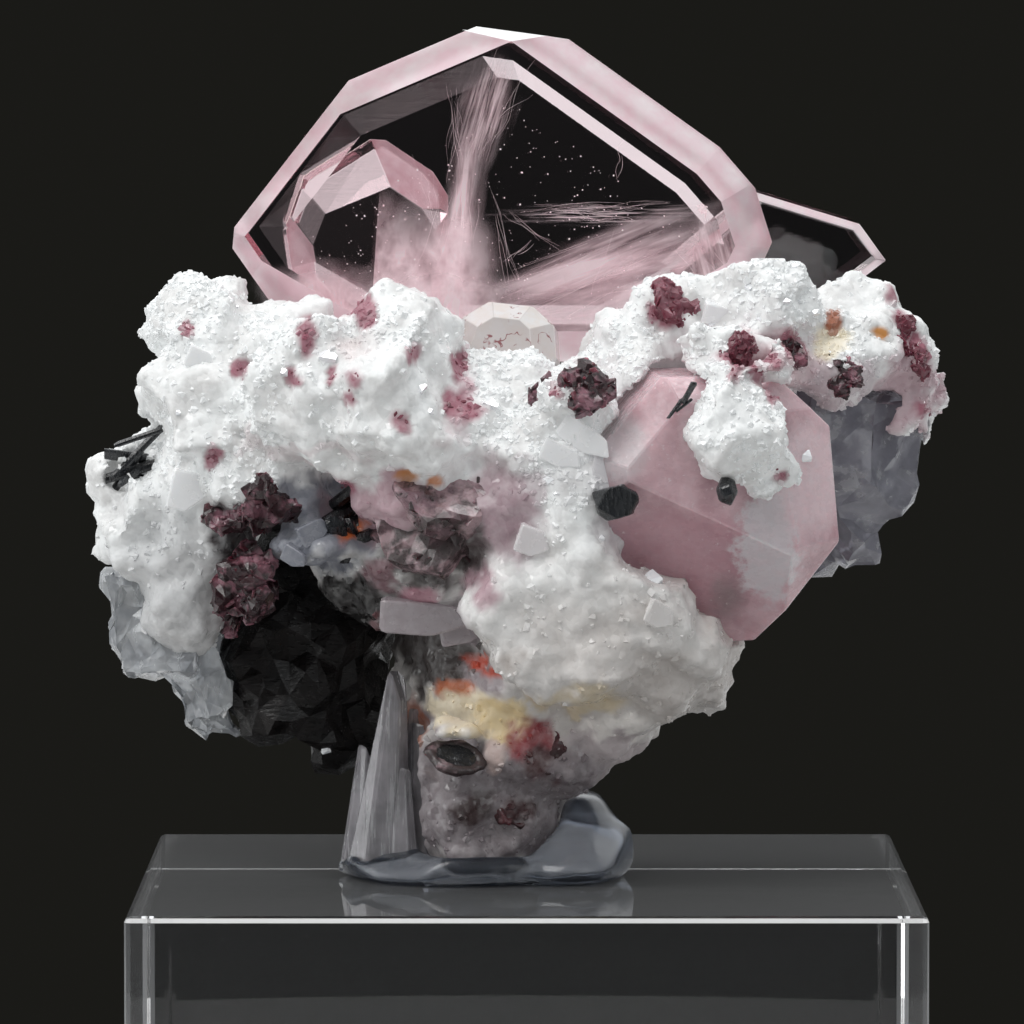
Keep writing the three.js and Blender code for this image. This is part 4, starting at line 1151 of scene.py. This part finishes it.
def buildPatch(nodeName, back):
    # a smooth glassy patch of mica, sunk into the matrix
    piece = roughCopy(nodeName, nodeName.replace("lepidolite_", "micaBook_"), {
        "voxel": 0.2, "smoothing": 2, "relief": [("CLOUDS", 1.4, 1.1, 0.6), ("CLOUDS", 0.5, 0.4, 0.5)], "faces": 0,
    })
    for vertex in piece.data.vertices:
        vertex.co.y += back * mm
    tone = piece.data.attributes.new("tone", "FLOAT", "POINT")
    tone.data.foreach_set("value", [0.5 + 0.6 * noise.noise(v.co * 1200) for v in piece.data.vertices])
    dress(piece, [maroonMica], [nodeName])


plate = modelPlate()
for seed, nodeName in enumerate(lepidoliteBooks["nodes"]):
    buildBook(plate, nodeName, seed + 1)
buildFlakes(plate)
removePiece(plate)
buildEye()
buildPatch("lepidolite_foot_right", 1.6)
buildPatch("lepidolite_foot_low", 1.7)
say("mica made")

# ---- crystals

# tablets: thickness, how far the back steps up, slopes of the bevels, place and turn;
# rim faces as direction, distance, and width of the front and of the back bevel;
# step faces on the back as direction, distance, width of the margin, and slope
tablets = {
    "mainTablet": {
        "thick": 7.6, "rise": 0.5, "slopes": (0.9, 0.85), "at": (-1.4, 5, 68.8), "turn": (-1.5, 0, 1.5), "edge": 0.05,
        "rim": [
            (17.5, 15.8, 2.5, 1.8), (41, 12.8, 2.35, 1.6), (54.5, 10.9, 2.35, 1.6), (82, 10.9, 0.7, 0.7),
            (113, 11.1, 1.8, 1.2), (142, 12.8, 0.9, 0.9), (174.5, 17.4, 0.72, 0.8), (215, 16.4, 1.2, 1.4),
            (240, 13.4, 2.0, 1.4), (270, 10.6, 2.0, 1.4), (300, 12.8, 2.0, 1.4), (335, 17.0, 2.2, 1.6),
        ],
        "step": [
            (17.5, 15.8, 2.9, 0.6), (41, 12.8, 3.15, 0.6), (54.5, 10.9, 3.15, 0.6), (82, 10.9, 1.8, 0.4),
            (113, 11.1, 1.9, 0.30), (142, 12.8, 1.1, 0.29), (174.5, 17.4, 0.95, 0.28), (215, 16.4, 2.2, 0.3),
            (240, 13.4, 2.4, 0.4), (270, 10.6, 2.4, 0.4), (300, 12.8, 2.4, 0.4), (335, 17.0, 2.6, 0.5),
        ],
        "more": [((0.127, -1, 2.45), 10.84)],
    },
    "leftTablet": {
        "thick": 3.3, "slopes": (0.8, 0.8), "at": (-10.5, 11.3, 66.6), "turn": (0, 0, 2), "edge": 0.04,
        "rim": [
            (0, 5.3, 0.9, 1.0), (32, 5.7, 1.5, 1.0), (56, 5.6, 2.3, 0.9), (84, 6.0, 0.6, 0.8),
            (122, 5.0, 0.9, 1.2), (160, 4.9, 0.7, 0.9), (190, 5.0, 1.3, 1.0), (225, 6.5, 2.2, 1.0), (270, 7.5, 1.4, 1.0),
            (315, 6.8, 1.4, 1.0),
        ],
        "more": [((-0.14, -0.93, 0.34), 2.3), ((-0.36, -0.9, 0.14), 2.7), ((0.34, -0.84, 0.2), 3.1)],
    },
    "rearTablet": {
        "thick": 4.2, "slopes": (0.8, 0.29), "at": (16.0, 12.9, 63.4), "turn": (4, 0, 8), "edge": 0.04,
        "rim": [
            (73, 5.3, 0.45, 0.7), (52, 6.6, 0.55, 0.6), (38, 6.9, 0.6, 0.5), (-53, 3.7, 0.6, 0.5),
            (130, 5.2, 0.6, 1.3), (180, 7.0, 0.6, 1.3), (250, 6.2, 0.6, 1.3),
        ],
    },
    "roseTablet": {
        "thick": 9.5, "slopes": (1, 1), "at": (12.0, -9.6, 50.0), "turn": (3, 0, 9), "edge": 0.08,
        "rim": [
            (5, 7.4, 2.2, 2.0), (48, 8.3, 1.8, 2.0), (90, 8.2, 1.6, 2.0), (140, 8.4, 1.8, 2.0),
            (185, 8.2, 2.0, 2.0), (228, 8.6, 2.6, 2.0), (275, 9.2, 3.0, 2.0), (322, 7.6, 2.4, 2.0),
        ],
        "more": [((-0.24, -0.82, -0.52), 4.5), ((0.55, -0.8, 0.1), 6.2)],
    },
}


def cutWith(normal, distance):
    # takes off all that lies past a plane
    normal = Vector(normal).normalized()
    bpy.ops.mesh.select_all(action="SELECT")
    bpy.ops.mesh.bisect(plane_co=normal * distance * mm, plane_no=normal, use_fill=True, clear_outer=True)


def acrossTo(direction):
    return Vector((math.cos(math.radians(direction)), 0, math.sin(math.radians(direction))))


def cutTablet(pieceName, shape, shrink=0.0, rise=0.0):
    bpy.ops.mesh.primitive_cube_add(size=80 * mm, location=(0, 0, 0))
    piece = bpy.context.object
    piece.name = pieceName
    inEditMode(piece)
    half = shape["thick"] / 2
    cutWith((0, -1, 0), half - shrink)
    cutWith((0, 1, 0), half + rise)
    for direction, distance, front, back in shape["rim"]:
        across = acrossTo(direction)
        cutWith(across, distance - shrink)
        for side, width, slope in ((-1, front, shape["slopes"][0]), (1, back, shape["slopes"][1])):
            flat = ((distance - width) * slope + half) / math.hypot(slope, 1)
            cutWith(across * slope + Vector((0, side, 0)), flat - shrink)
    for normal, distance in shape.get("more", []):
        cutWith(normal, distance)
    if rise:
        for direction, distance, margin, slope in shape["step"]:
            flat = ((distance - margin) * slope + half) / math.hypot(slope, 1)
            cutWith(acrossTo(direction) * slope + Vector((0, 1, 0)), flat)
    leaveEditMode()
    piece.location = Vector(shape["at"]) * mm
    piece.rotation_euler = [math.radians(a) for a in shape["turn"]]
    applyPlace(piece)
    return piece


def bevelEdges(piece, width):
    modifier = piece.modifiers.new("edges", "BEVEL")
    modifier.width = width * mm
    modifier.segments = 1
    modifier.limit_method = "ANGLE"
    modifier.angle_limit = math.radians(10)
    applyModifiers(piece)


def buildTablet(pieceName, nodeName, materials, faceMaterial):
    shape = tablets[pieceName]
    piece = cutTablet(pieceName, shape)
    if "step" in shape:
        upper = cutTablet("upperStep", shape, 0.01, shape["rise"])
        modifier = piece.modifiers.new("step", "BOOLEAN")
        modifier.operation = "UNION"
        modifier.solver = "EXACT"
        modifier.object = upper
        applyModifiers(piece)
        removePiece(upper)
        inEditMode(piece)
        bpy.ops.mesh.remove_doubles(threshold=0.002 * mm)
        bpy.ops.mesh.dissolve_limited(angle_limit=math.radians(0.6))
        leaveEditMode()
    bevelEdges(piece, shape["edge"])
    keepInside(piece, nodeName)
    bpy.ops.object.shade_flat()
    dress(piece, materials, [nodeName])
    for face in piece.data.polygons:
        direction = math.degrees(math.atan2(face.normal.z, face.normal.x)) % 360
        face.material_index = faceMaterial(direction, face.normal.y, face.center / mm)
    return piece


def mainFace(direction, toBack, centre):
    # the front bevels are cloudy but for one facet at the top, painted near white as a highlight
    if not -0.97 < toBack < -0.15:
        return 0
    return 2 if 70 < direction < 98 else 1


def leftFace(direction, toBack, centre):
    # cream on the left, dusky pink on the right, one facet on top painted near white as a highlight, and grey ones
    # between
    if not -0.87 < toBack < -0.15:
        return 0
    if 74 < direction < 96:
        return 4
    return 2 if 96 <= direction < 180 else 3


def frostedFront(direction, toBack, centre):
    return 1 if -0.97 < toBack < -0.15 else 0


def sharpCopy(nodeName, pieceName, bevel):
    piece = copyOfNode(nodeName, pieceName)
    inEditMode(piece)
    bpy.ops.mesh.customdata_custom_splitnormals_clear()
    bpy.ops.mesh.dissolve_limited(angle_limit=math.radians(0.6))
    leaveEditMode()
    bpy.ops.object.shade_flat()
    bevelEdges(piece, bevel)
    return piece


buildTablet("mainTablet", "morganite_main", [clearMorganite, rimMorganite, paintedHighlightFacet], mainFace)
buildTablet("leftTablet", "morganite_main", [clearMorganite, rimMorganite, creamMorganite, pinkMorganite, paintedHighlightFacet], leftFace)
buildTablet("rearTablet", "morganite_rear", [clearMorganite, rimMorganite], frostedFront)
rosePiece = buildTablet("roseTablet", "morganite_front", [roseMorganite], lambda *face: 0)

# node: piece, edge width, slot and material
crystals = {
    "morganite_small": ("paleTablet", 0.04, "morganite", paleMorganite),
    "columbite_large": ("columbiteLarge", 0.1, "schorl", schorlMaterial),
    "columbite_small": ("columbiteSmall", 0.08, "schorl", schorlMaterial),
}
for nodeName, (pieceName, edge, slotName, material) in crystals.items():
    piece = dress(sharpCopy(nodeName, pieceName, edge), [material], [nodeName])
    tone = piece.data.attributes.new("tone", "FLOAT", "FACE")
    tone.data.foreach_set("value", [0.6 * random.Random(i).random() for i in range(len(piece.data.polygons))])

# node: piece, shape, slot and material
roughStones = {
    "quartz_left": ("leftFeldspar", {
        "voxel": 0.26, "smoothing": 5, "relief": [("CLOUDS", 3.4, 2.0, 0.6), ("VORONOI", 2.4, -0.9, 0.45)], "faces": 620, "sharp": 22,
    }, "quartz", leftQuartzMaterial),
    "quartz_right": ("greyQuartz", {
        "voxel": 0.26, "smoothing": 6, "relief": [("CLOUDS", 4.2, 1.8, 0.6), ("VORONOI", 3.4, -0.9, 0.45)], "faces": 420, "sharp": 24,
    }, "quartz", rightQuartzMaterial),
    "smoky_quartz": ("smokyMass", {
        "voxel": 0.34, "smoothing": 2, "relief": [("VORONOI", 3.6, -2.2, 0.4), ("VORONOI", 1.4, -0.4, 0.4)], "faces": 620, "sharp": 12,
    }, "smoky_quartz", smokyMaterial),
}
stones = [
    dress(roughCopy(nodeName, pieceName, shape), [material], [nodeName])
    for nodeName, (pieceName, shape, slotName, material) in roughStones.items()
]
stoneTree = surfaceTree(matrixPiece, rosePiece, *stones)
buildGlints()

# blades of quartz at the left of the foot: foot of the blade, height, width, depth and lean
footBlades = [
    ((-9.5, -3.6, 25.9), 12.6, 4.2, 3.6, 5.4), ((-10.8, -1.6, 25.9), 7.6, 2.6, 2.6, 3), ((-7.0, -2.6, 25.9), 9.2, 2.6, 2.6, 0),
    ((-8.6, -1.9, 25.9), 11.2, 3.2, 2.6, 2), ((-8.0, -4.6, 25.9), 6.4, 2.0, 2.2, 2), ((-7.4, -1.6, 27.0), 9.0, 2.8, 2.4, -4),
]


def modelBlade():
    # a seven-sided prism that narrows to a chisel end
    bpy.ops.mesh.primitive_cylinder_add(vertices=7, radius=0.5 * mm, depth=1 * mm, location=(0, 0, 0.5 * mm))
    blade = bpy.context.object
    applyPlace(blade)
    inEditMode(blade)
    selectFaces(blade, lambda centre, normal: normal.z > 0.9)
    bpy.ops.transform.resize(value=(0.3, 0.55, 1), center_override=(0, 0, 1 * mm))
    bpy.ops.mesh.select_all(action="SELECT")
    bpy.ops.mesh.bisect(plane_co=(0, 0, 0.97 * mm), plane_no=(0.5, -0.2, 0.85), use_fill=True, clear_outer=True)
    bpy.ops.mesh.select_all(action="SELECT")
    bpy.ops.mesh.bevel(offset=0.025 * mm, segments=1)
    leaveEditMode()
    return blade


def buildFootBlades():
    blade = modelBlade()
    places = [placeAt(at, (0, lean, 25 * number), (width, depth, height)) for number, (at, height, width, depth, lean) in enumerate(footBlades)]
    piece = joinedCopies(blade, "footBlades", places)
    removePiece(blade)
    keepInside(piece, "quartz_foot")
    return dress(piece, [footQuartzMaterial], ["quartz_foot"])


buildFootBlades()


def buildBlock():
    # the clear block, with polished edges
    low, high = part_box("acrylic_block")
    bpy.ops.mesh.primitive_cube_add(size=1, location=(low + high) / 2, scale=high - low)
    piece = bpy.context.object
    piece.name = "displayBlock"
    applyPlace(piece)
    inEditMode(piece)
    bpy.ops.mesh.bevel(offset=0.4 * mm, segments=2)
    leaveEditMode()
    bpy.ops.object.shade_flat()
    return dress(piece, [acrylicMaterial], ["acrylic_block"])


buildBlock()
say("crystals made")

# black tourmaline: bundles of rods in each node's place, with the lean of the bundle
schorlBundles = {
    "schorl_left": {"rods": 8, "thick": (0.35, 0.75), "long": (0.5, 0.9), "lean": (0, 52, 0), "spread": 20},
    "schorl_centre": {"rods": 13, "thick": (0.6, 1.1), "long": (0.3, 0.75), "lean": (0, 40, 0), "spread": 40},
    "schorl_right": {"rods": 5, "thick": (0.2, 0.4), "long": (0.5, 0.9), "lean": (0, 36, 0), "spread": 10},
}


def modelRod():
    # a six-sided rod with ribs down its sides and a blunt point
    bpy.ops.mesh.primitive_cylinder_add(vertices=9, radius=0.5 * mm, depth=1 * mm, location=(0, 0, 0))
    rod = bpy.context.object
    inEditMode(rod)
    for side in (1, -1):
        selectFaces(rod, lambda centre, normal: normal.z * side > 0.9)
        bpy.ops.mesh.inset(thickness=0.18 * mm)
        bpy.ops.transform.translate(value=(0.04 * mm, 0, 0.07 * side * mm))
    leaveEditMode()
    return rod


def buildSchorl(rod, nodeName, bundle, seed):
    low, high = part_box(nodeName)
    centre, span = (low + high) / 2 / mm, (high - low) / mm
    rng = random.Random(seed)
    places = []
    for _ in range(bundle["rods"]):
        at = [centre[i] + rng.uniform(-0.3, 0.3) * span[i] for i in range(3)]
        turn = [bundle["lean"][i] + rng.gauss(0, bundle["spread"]) for i in range(3)]
        thick = rng.uniform(*bundle["thick"])
        places.append(placeAt(at, turn, (thick, thick * rng.uniform(0.6, 1), rng.uniform(*bundle["long"]) * max(span))))
    piece = joinedCopies(rod, nodeName.replace("schorl_", "schorl").replace("_", ""), places)
    keepInside(piece, nodeName)
    return dress(piece, [schorlMaterial], [nodeName])


rod = modelRod()
for seed, (nodeName, bundle) in enumerate(schorlBundles.items()):
    buildSchorl(rod, nodeName, bundle, 40 + seed)
removePiece(rod)
say("schorl made")

# veils inside the large tablet: threads from a start to an end, each with its own wander
veilThreads = [
    {"from": (-1.0, 78.2), "to": (-3.9, 70.2), "spread": (1.1, 0.4), "count": 14, "wave": 0.7, "thick": 0.006},
    {"from": (-4.6, 76.6), "to": (-4.8, 69.0), "spread": (0.5, 0.5), "count": 9, "wave": 0.6, "thick": 0.006},
    {"from": (-3.8, 71.4), "to": (-5.0, 61.2), "spread": (0.5, 2.0), "count": 12, "wave": 0.6, "thick": 0.006},
    {"from": (-2.4, 69.8), "to": (-0.6, 61.6), "spread": (0.25, 0.4), "count": 6, "wave": 0.4, "thick": 0.006},
    {"from": (-1.6, 68.0), "to": (11.2, 68.5), "spread": (0.25, 0.2), "count": 9, "wave": 0.8, "thick": 0.006},
    {"from": (0.8, 68.0), "to": (7.8, 67.2), "spread": (0.12, 0.16), "count": 7, "wave": 0.5, "thick": 0.009},
    {"from": (-2.4, 62.6), "to": (11.2, 68.0), "spread": (0.7, 0.4), "count": 12, "wave": 0.25, "thick": 0.006},
    {"from": (-1.6, 61.4), "to": (10.6, 66.0), "spread": (0.8, 1.0), "count": 5, "wave": 0.25, "thick": 0.006},
    {"from": (0.8, 61.6), "to": (9.8, 63.4), "spread": (1.1, 1.1), "count": 3, "wave": 0.4, "thick": 0.006},
    {"from": (5.5, 67.2), "to": (4.6, 62.0), "spread": (0.4, 0.4), "count": 4, "wave": 0.4, "thick": 0.007},
    {"from": (6.4, 72.8), "to": (5.4, 68.6), "spread": (0.02, 0.02), "count": 2, "wave": 0.8, "thick": 0.012},
    {"from": (-2.0, 68.4), "to": (3.0, 64.6), "spread": (0.1, 0.4), "count": 4, "wave": 0.5, "thick": 0.006},
    {"from": (-1.6, 64.6), "to": (1.8, 67.2), "spread": (0.1, 0.3), "count": 3, "wave": 0.4, "thick": 0.009},
    {"from": (-6.8, 71.6), "to": (-5.8, 66.8), "spread": (0.4, 0.5), "count": 6, "wave": 0.6, "thick": 0.006},
    {"from": (10.6, 66.4), "to": (13.4, 61.6), "spread": (0.9, 0.9), "count": 8, "wave": 0.4, "thick": 0.008},
]


def buildThreads():
    rng = random.Random(21)
    curve = bpy.data.curves.new("veilThreads", "CURVE")
    curve.dimensions = "3D"
    curve.bevel_depth = 1 * mm
    curve.bevel_resolution = 0
    curve.use_fill_caps = True
    for bundle in veilThreads:
        for _ in range(bundle["count"]):
            points = 9
            depth = rng.uniform(2.6, 7.2)
            starts = [bundle["from"][i] + rng.gauss(0, bundle["spread"][0]) for i in range(2)]
            ends = [bundle["to"][i] + rng.gauss(0, bundle["spread"][1]) for i in range(2)]
            first, last = sorted((rng.uniform(0, 0.35), rng.uniform(0.5, 1)))
            spline = curve.splines.new("POLY")
            spline.points.add(points - 1)
            phase = rng.uniform(0, 50)
            for i in range(points):
                share = first + (last - first) * i / (points - 1)
                x = starts[0] + (ends[0] - starts[0]) * share
                z = starts[1] + (ends[1] - starts[1]) * share
                drift = noise.noise_vector(Vector((share * 3, phase, bundle["wave"]))) * bundle["wave"]
                spline.points[i].co = (*(Vector((x, depth, z)) + drift) * mm, 1)
                spline.points[i].radius = bundle["thick"] * (0.3 + 0.7 * math.sin(math.pi * (i + 0.5) / points)) * rng.uniform(0.6, 1.2)
    threads = bpy.data.objects.new("veilThreads", curve)
    bpy.context.scene.collection.objects.link(threads)
    onlySelect(threads)
    bpy.ops.object.convert(target="MESH")
    return dress(threads, [threadMaterial])


# films: a point, half width and height, turn, how strong it is and what it is made of
veilFilms = [
    {"at": (-2.7, 4.6, 74.4), "half": (2.2, 4.4), "turn": 16, "strong": 0.95, "stuff": "plume"},
    {"at": (-4.2, 4.8, 67.6), "half": (1.5, 7.4), "turn": 7, "strong": 1.0, "stuff": "column"},
    {"at": (-5.6, 4.6, 63.4), "half": (4.4, 6.4), "turn": 4, "strong": 1.0, "stuff": "cloud", "cut": True},
    {"at": (-5.2, 3.0, 61.4), "half": (6.0, 4.4), "turn": 0, "strong": 1.0, "stuff": "cloud"},
    {"at": (5.0, 4.6, 67.9), "half": (8.0, 0.9), "turn": -1, "strong": 1.0, "stuff": "wisp"},
    {"at": (5.2, 4.2, 65.2), "half": (9.4, 2.0), "turn": -21, "strong": 1.0, "stuff": "streak"},
    {"at": (4.8, 5.6, 63.4), "half": (9.4, 2.4), "turn": -16, "strong": 1.0, "stuff": "streak"},
    {"at": (5.0, 5.0, 62.4), "half": (8.8, 3.4), "turn": -12, "strong": 1.0, "stuff": "smoke"},
    {"at": (-13.0, 7.2, 62.0), "half": (5.4, 3.0), "turn": 6, "strong": 1.0, "stuff": "cloud"},
    {"at": (12.4, 4.4, 64.2), "half": (2.6, 5.0), "turn": -16, "strong": 0.8, "stuff": "column"},
]


def buildFilms():
    for number, film in enumerate(veilFilms):
        bpy.ops.mesh.primitive_grid_add(x_subdivisions=24, y_subdivisions=24, size=2, location=(0, 0, 0))
        piece = bpy.context.object
        piece.name = "veilFilm%02d" % (number + 1)
        fade = piece.data.attributes.new("fade", "FLOAT", "POINT")
        flow = piece.data.attributes.new("flow", "FLOAT_VECTOR", "POINT")
        turn = Matrix.Rotation(math.radians(film["turn"]), 4, "Y")
        values, lines = [], []
        for vertex in piece.data.vertices:
            x, z = vertex.co.x, vertex.co.y
            lines.extend((x * film["half"][0], number * 7.7, z * film["half"][1]))
            ragged = 0.25 * noise.noise(Vector((x * 2.2, z * 2.2, number * 5.3)))
            # a cut film ends sharply on the left, along a face inside the crystal
            inward = max(x, 0) if "cut" in film else x
            edge = abs(z) > 0.99 or x > 0.99 or (x < -0.99 and "cut" not in film)
            values.append(0.0 if edge else film["strong"] * float(smoothed(1.15 * (1 - math.hypot(inward, z) + ragged))))
            flat = Vector((x * film["half"][0], 0, z * film["half"][1]))
            bent = turn @ flat
            bent.y += 0.9 * noise.noise(Vector((flat.x * 0.35, number * 3.1, flat.z * 0.35)))
            vertex.co = (bent + Vector(film["at"])) * mm
        fade.data.foreach_set("value", values)
        flow.data.foreach_set("vector", lines)
        dress(piece, [veilStuffs[film["stuff"]]])


def buildDustAndGlint():
    # specks and small bubbles all through the large tablet, and a star of glowing chips at its right end, a painted
    # glint
    chip = modelGrain()
    rng = random.Random(31)
    places = []
    for _ in range(620):
        x, z = rng.uniform(-15, 11), rng.uniform(61, 77)
        if abs(x + 1.4) * 0.72 + abs(z - 62) < 13.5:
            size = 0.04 + 0.06 * rng.random() ** 3
            places.append(placeAt((x, rng.uniform(2.4, 7.4), z), [rng.uniform(0, 180) for _ in range(3)], size))
    for _ in range(9):
        places.append(placeAt((rng.gauss(11.5, 0.14), 4.6, rng.gauss(68.2, 0.14)), (rng.uniform(0, 90), rng.uniform(0, 180), 0), (0.6, 0.05, 0.1)))
    piece = joinedCopies(chip, "veilDustAndGlint", places)
    removePiece(chip)
    return dress(piece, [threadMaterial])


buildThreads()
buildFilms()
buildDustAndGlint()
say("veils made")

# ---- tack pressed smooth round the foot

tackShape = {"voxel": 0.3, "smoothing": 30}


def buildTack():
    piece = copyOfNode("mounting_tack", "tackMound")
    remesh = piece.modifiers.new("remesh", "REMESH")
    remesh.mode = "VOXEL"
    remesh.voxel_size = tackShape["voxel"] * mm
    smooth = piece.modifiers.new("smooth", "SMOOTH")
    smooth.iterations = tackShape["smoothing"]
    applyModifiers(piece)
    keepInside(piece, "mounting_tack")
    bpy.ops.object.shade_smooth()
    return dress(piece, [tackMaterial], ["mounting_tack"])


buildTack()

# ---- floor and light

floorSize = {"radius": 120, "thick": 2}
bpy.ops.mesh.primitive_cylinder_add(vertices=96, radius=floorSize["radius"] * mm, depth=floorSize["thick"] * mm, location=(0, 0, -floorSize["thick"] / 2 * mm))
floor = bpy.context.object
floor.name = "floor"
applyPlace(floor)
floor.data.materials.append(makeFloor())

# place in mm, size in mm, power in watts
lamps = {
    "key": {"at": (-200, -260, 420), "size": (260, 260), "power": 1.13, "colour": (1, 0.99, 0.98)},
    "top": {"at": (63, -18, 474), "size": (80, 80), "power": 0.32, "colour": (1, 1, 1)},
    "fill": {"at": (300, -420, 180), "size": (300, 300), "power": 0.35, "colour": (0.95, 0.98, 1)},
    "left": {"at": (-420, -40, 120), "size": (240, 340), "power": 0.55, "colour": (0.97, 0.99, 1)},
}
for name, lamp in lamps.items():
    data = bpy.data.lights.new(name, "AREA")
    data.shape = "RECTANGLE"
    data.size, data.size_y = lamp["size"][0] * mm, lamp["size"][1] * mm
    data.energy = lamp["power"]
    data.color = lamp["colour"]
    light = bpy.data.objects.new(name, data)
    light.location = Vector(lamp["at"]) * mm
    light.rotation_euler = (Vector((0, 0, 55)) * mm - light.location).to_track_quat("-Z", "Y").to_euler()
    light.visible_camera = False
    bpy.context.scene.collection.objects.link(light)

# a dim room, bright overhead and low down behind, with a dark cone straight behind the display side
room = {
    "backdrop": (0.0105, 0.0103, 0.0088), "dim": 0.07, "overhead": 0.42, "behind": 0.85,
    "level": (0.07, 0.30),  # how far above or below the horizon the light behind begins and is full
    "dip": 2, "inner": 7, "outer": 13,  # the dark cone straight behind, in degrees
}


def buildRoom():
    world = bpy.data.worlds.new("darkRoom")
    world.use_nodes = True
    tree = world.node_tree

    def spread(fromMin, fromMax, toMin, toMax):
        return addNode(tree, "MapRange", {"interpolation_type": "SMOOTHSTEP"}, {
            "From Min": fromMin, "From Max": fromMax, "To Min": toMin, "To Max": toMax,
        })

    direction = addNode(tree, "TexCoord")
    part = addNode(tree, "SeparateXYZ")
    above = spread(-0.1, 0.8, room["dim"], room["overhead"])
    level = addNode(tree, "Math", {"operation": "ABSOLUTE"})
    offLevel = spread(room["level"][0], room["level"][1], 0, 1)
    behind = spread(-0.2, 0.5, 0, room["behind"])
    low = addNode(tree, "Math", {"operation": "MULTIPLY"})
    straight = addNode(tree, "VectorMath", {"operation": "DOT_PRODUCT"})
    straight.inputs[1].default_value = (0, math.cos(math.radians(room["dip"])), -math.sin(math.radians(room["dip"])))
    opening = spread(math.cos(math.radians(room["outer"])), math.cos(math.radians(room["inner"])), 1, 0)
    total = addNode(tree, "Math", {"operation": "ADD"})
    left = addNode(tree, "Math", {"operation": "MULTIPLY"})
    tree.links.new(direction.outputs["Generated"], part.inputs[0])
    tree.links.new(direction.outputs["Generated"], straight.inputs[0])
    tree.links.new(straight.outputs["Value"], opening.inputs["Value"])
    tree.links.new(part.outputs["Z"], above.inputs["Value"])
    tree.links.new(part.outputs["Z"], level.inputs[0])
    tree.links.new(level.outputs[0], offLevel.inputs["Value"])
    tree.links.new(part.outputs["Y"], behind.inputs["Value"])
    tree.links.new(offLevel.outputs["Result"], low.inputs[0])
    tree.links.new(behind.outputs["Result"], low.inputs[1])
    tree.links.new(above.outputs["Result"], total.inputs[0])
    tree.links.new(low.outputs[0], total.inputs[1])
    tree.links.new(total.outputs[0], left.inputs[0])
    tree.links.new(opening.outputs["Result"], left.inputs[1])
    soft = tree.nodes["Background"]
    tree.links.new(left.outputs[0], soft.inputs["Strength"])
    soft.inputs["Color"].default_value = (0.97, 0.99, 1, 1)
    dark = addNode(tree, "Background", None, {"Color": (*room["backdrop"], 1), "Strength": 1})
    seen = addNode(tree, "LightPath")
    both = addNode(tree, "MixShader")
    tree.links.new(seen.outputs["Is Camera Ray"], both.inputs[0])
    tree.links.new(soft.outputs[0], both.inputs[1])
    tree.links.new(dark.outputs[0], both.inputs[2])
    tree.links.new(both.outputs[0], tree.nodes["World Output"].inputs["Surface"])
    bpy.context.scene.world = world


buildRoom()
bpy.context.scene.view_settings.view_transform = "Standard"
say("light set")
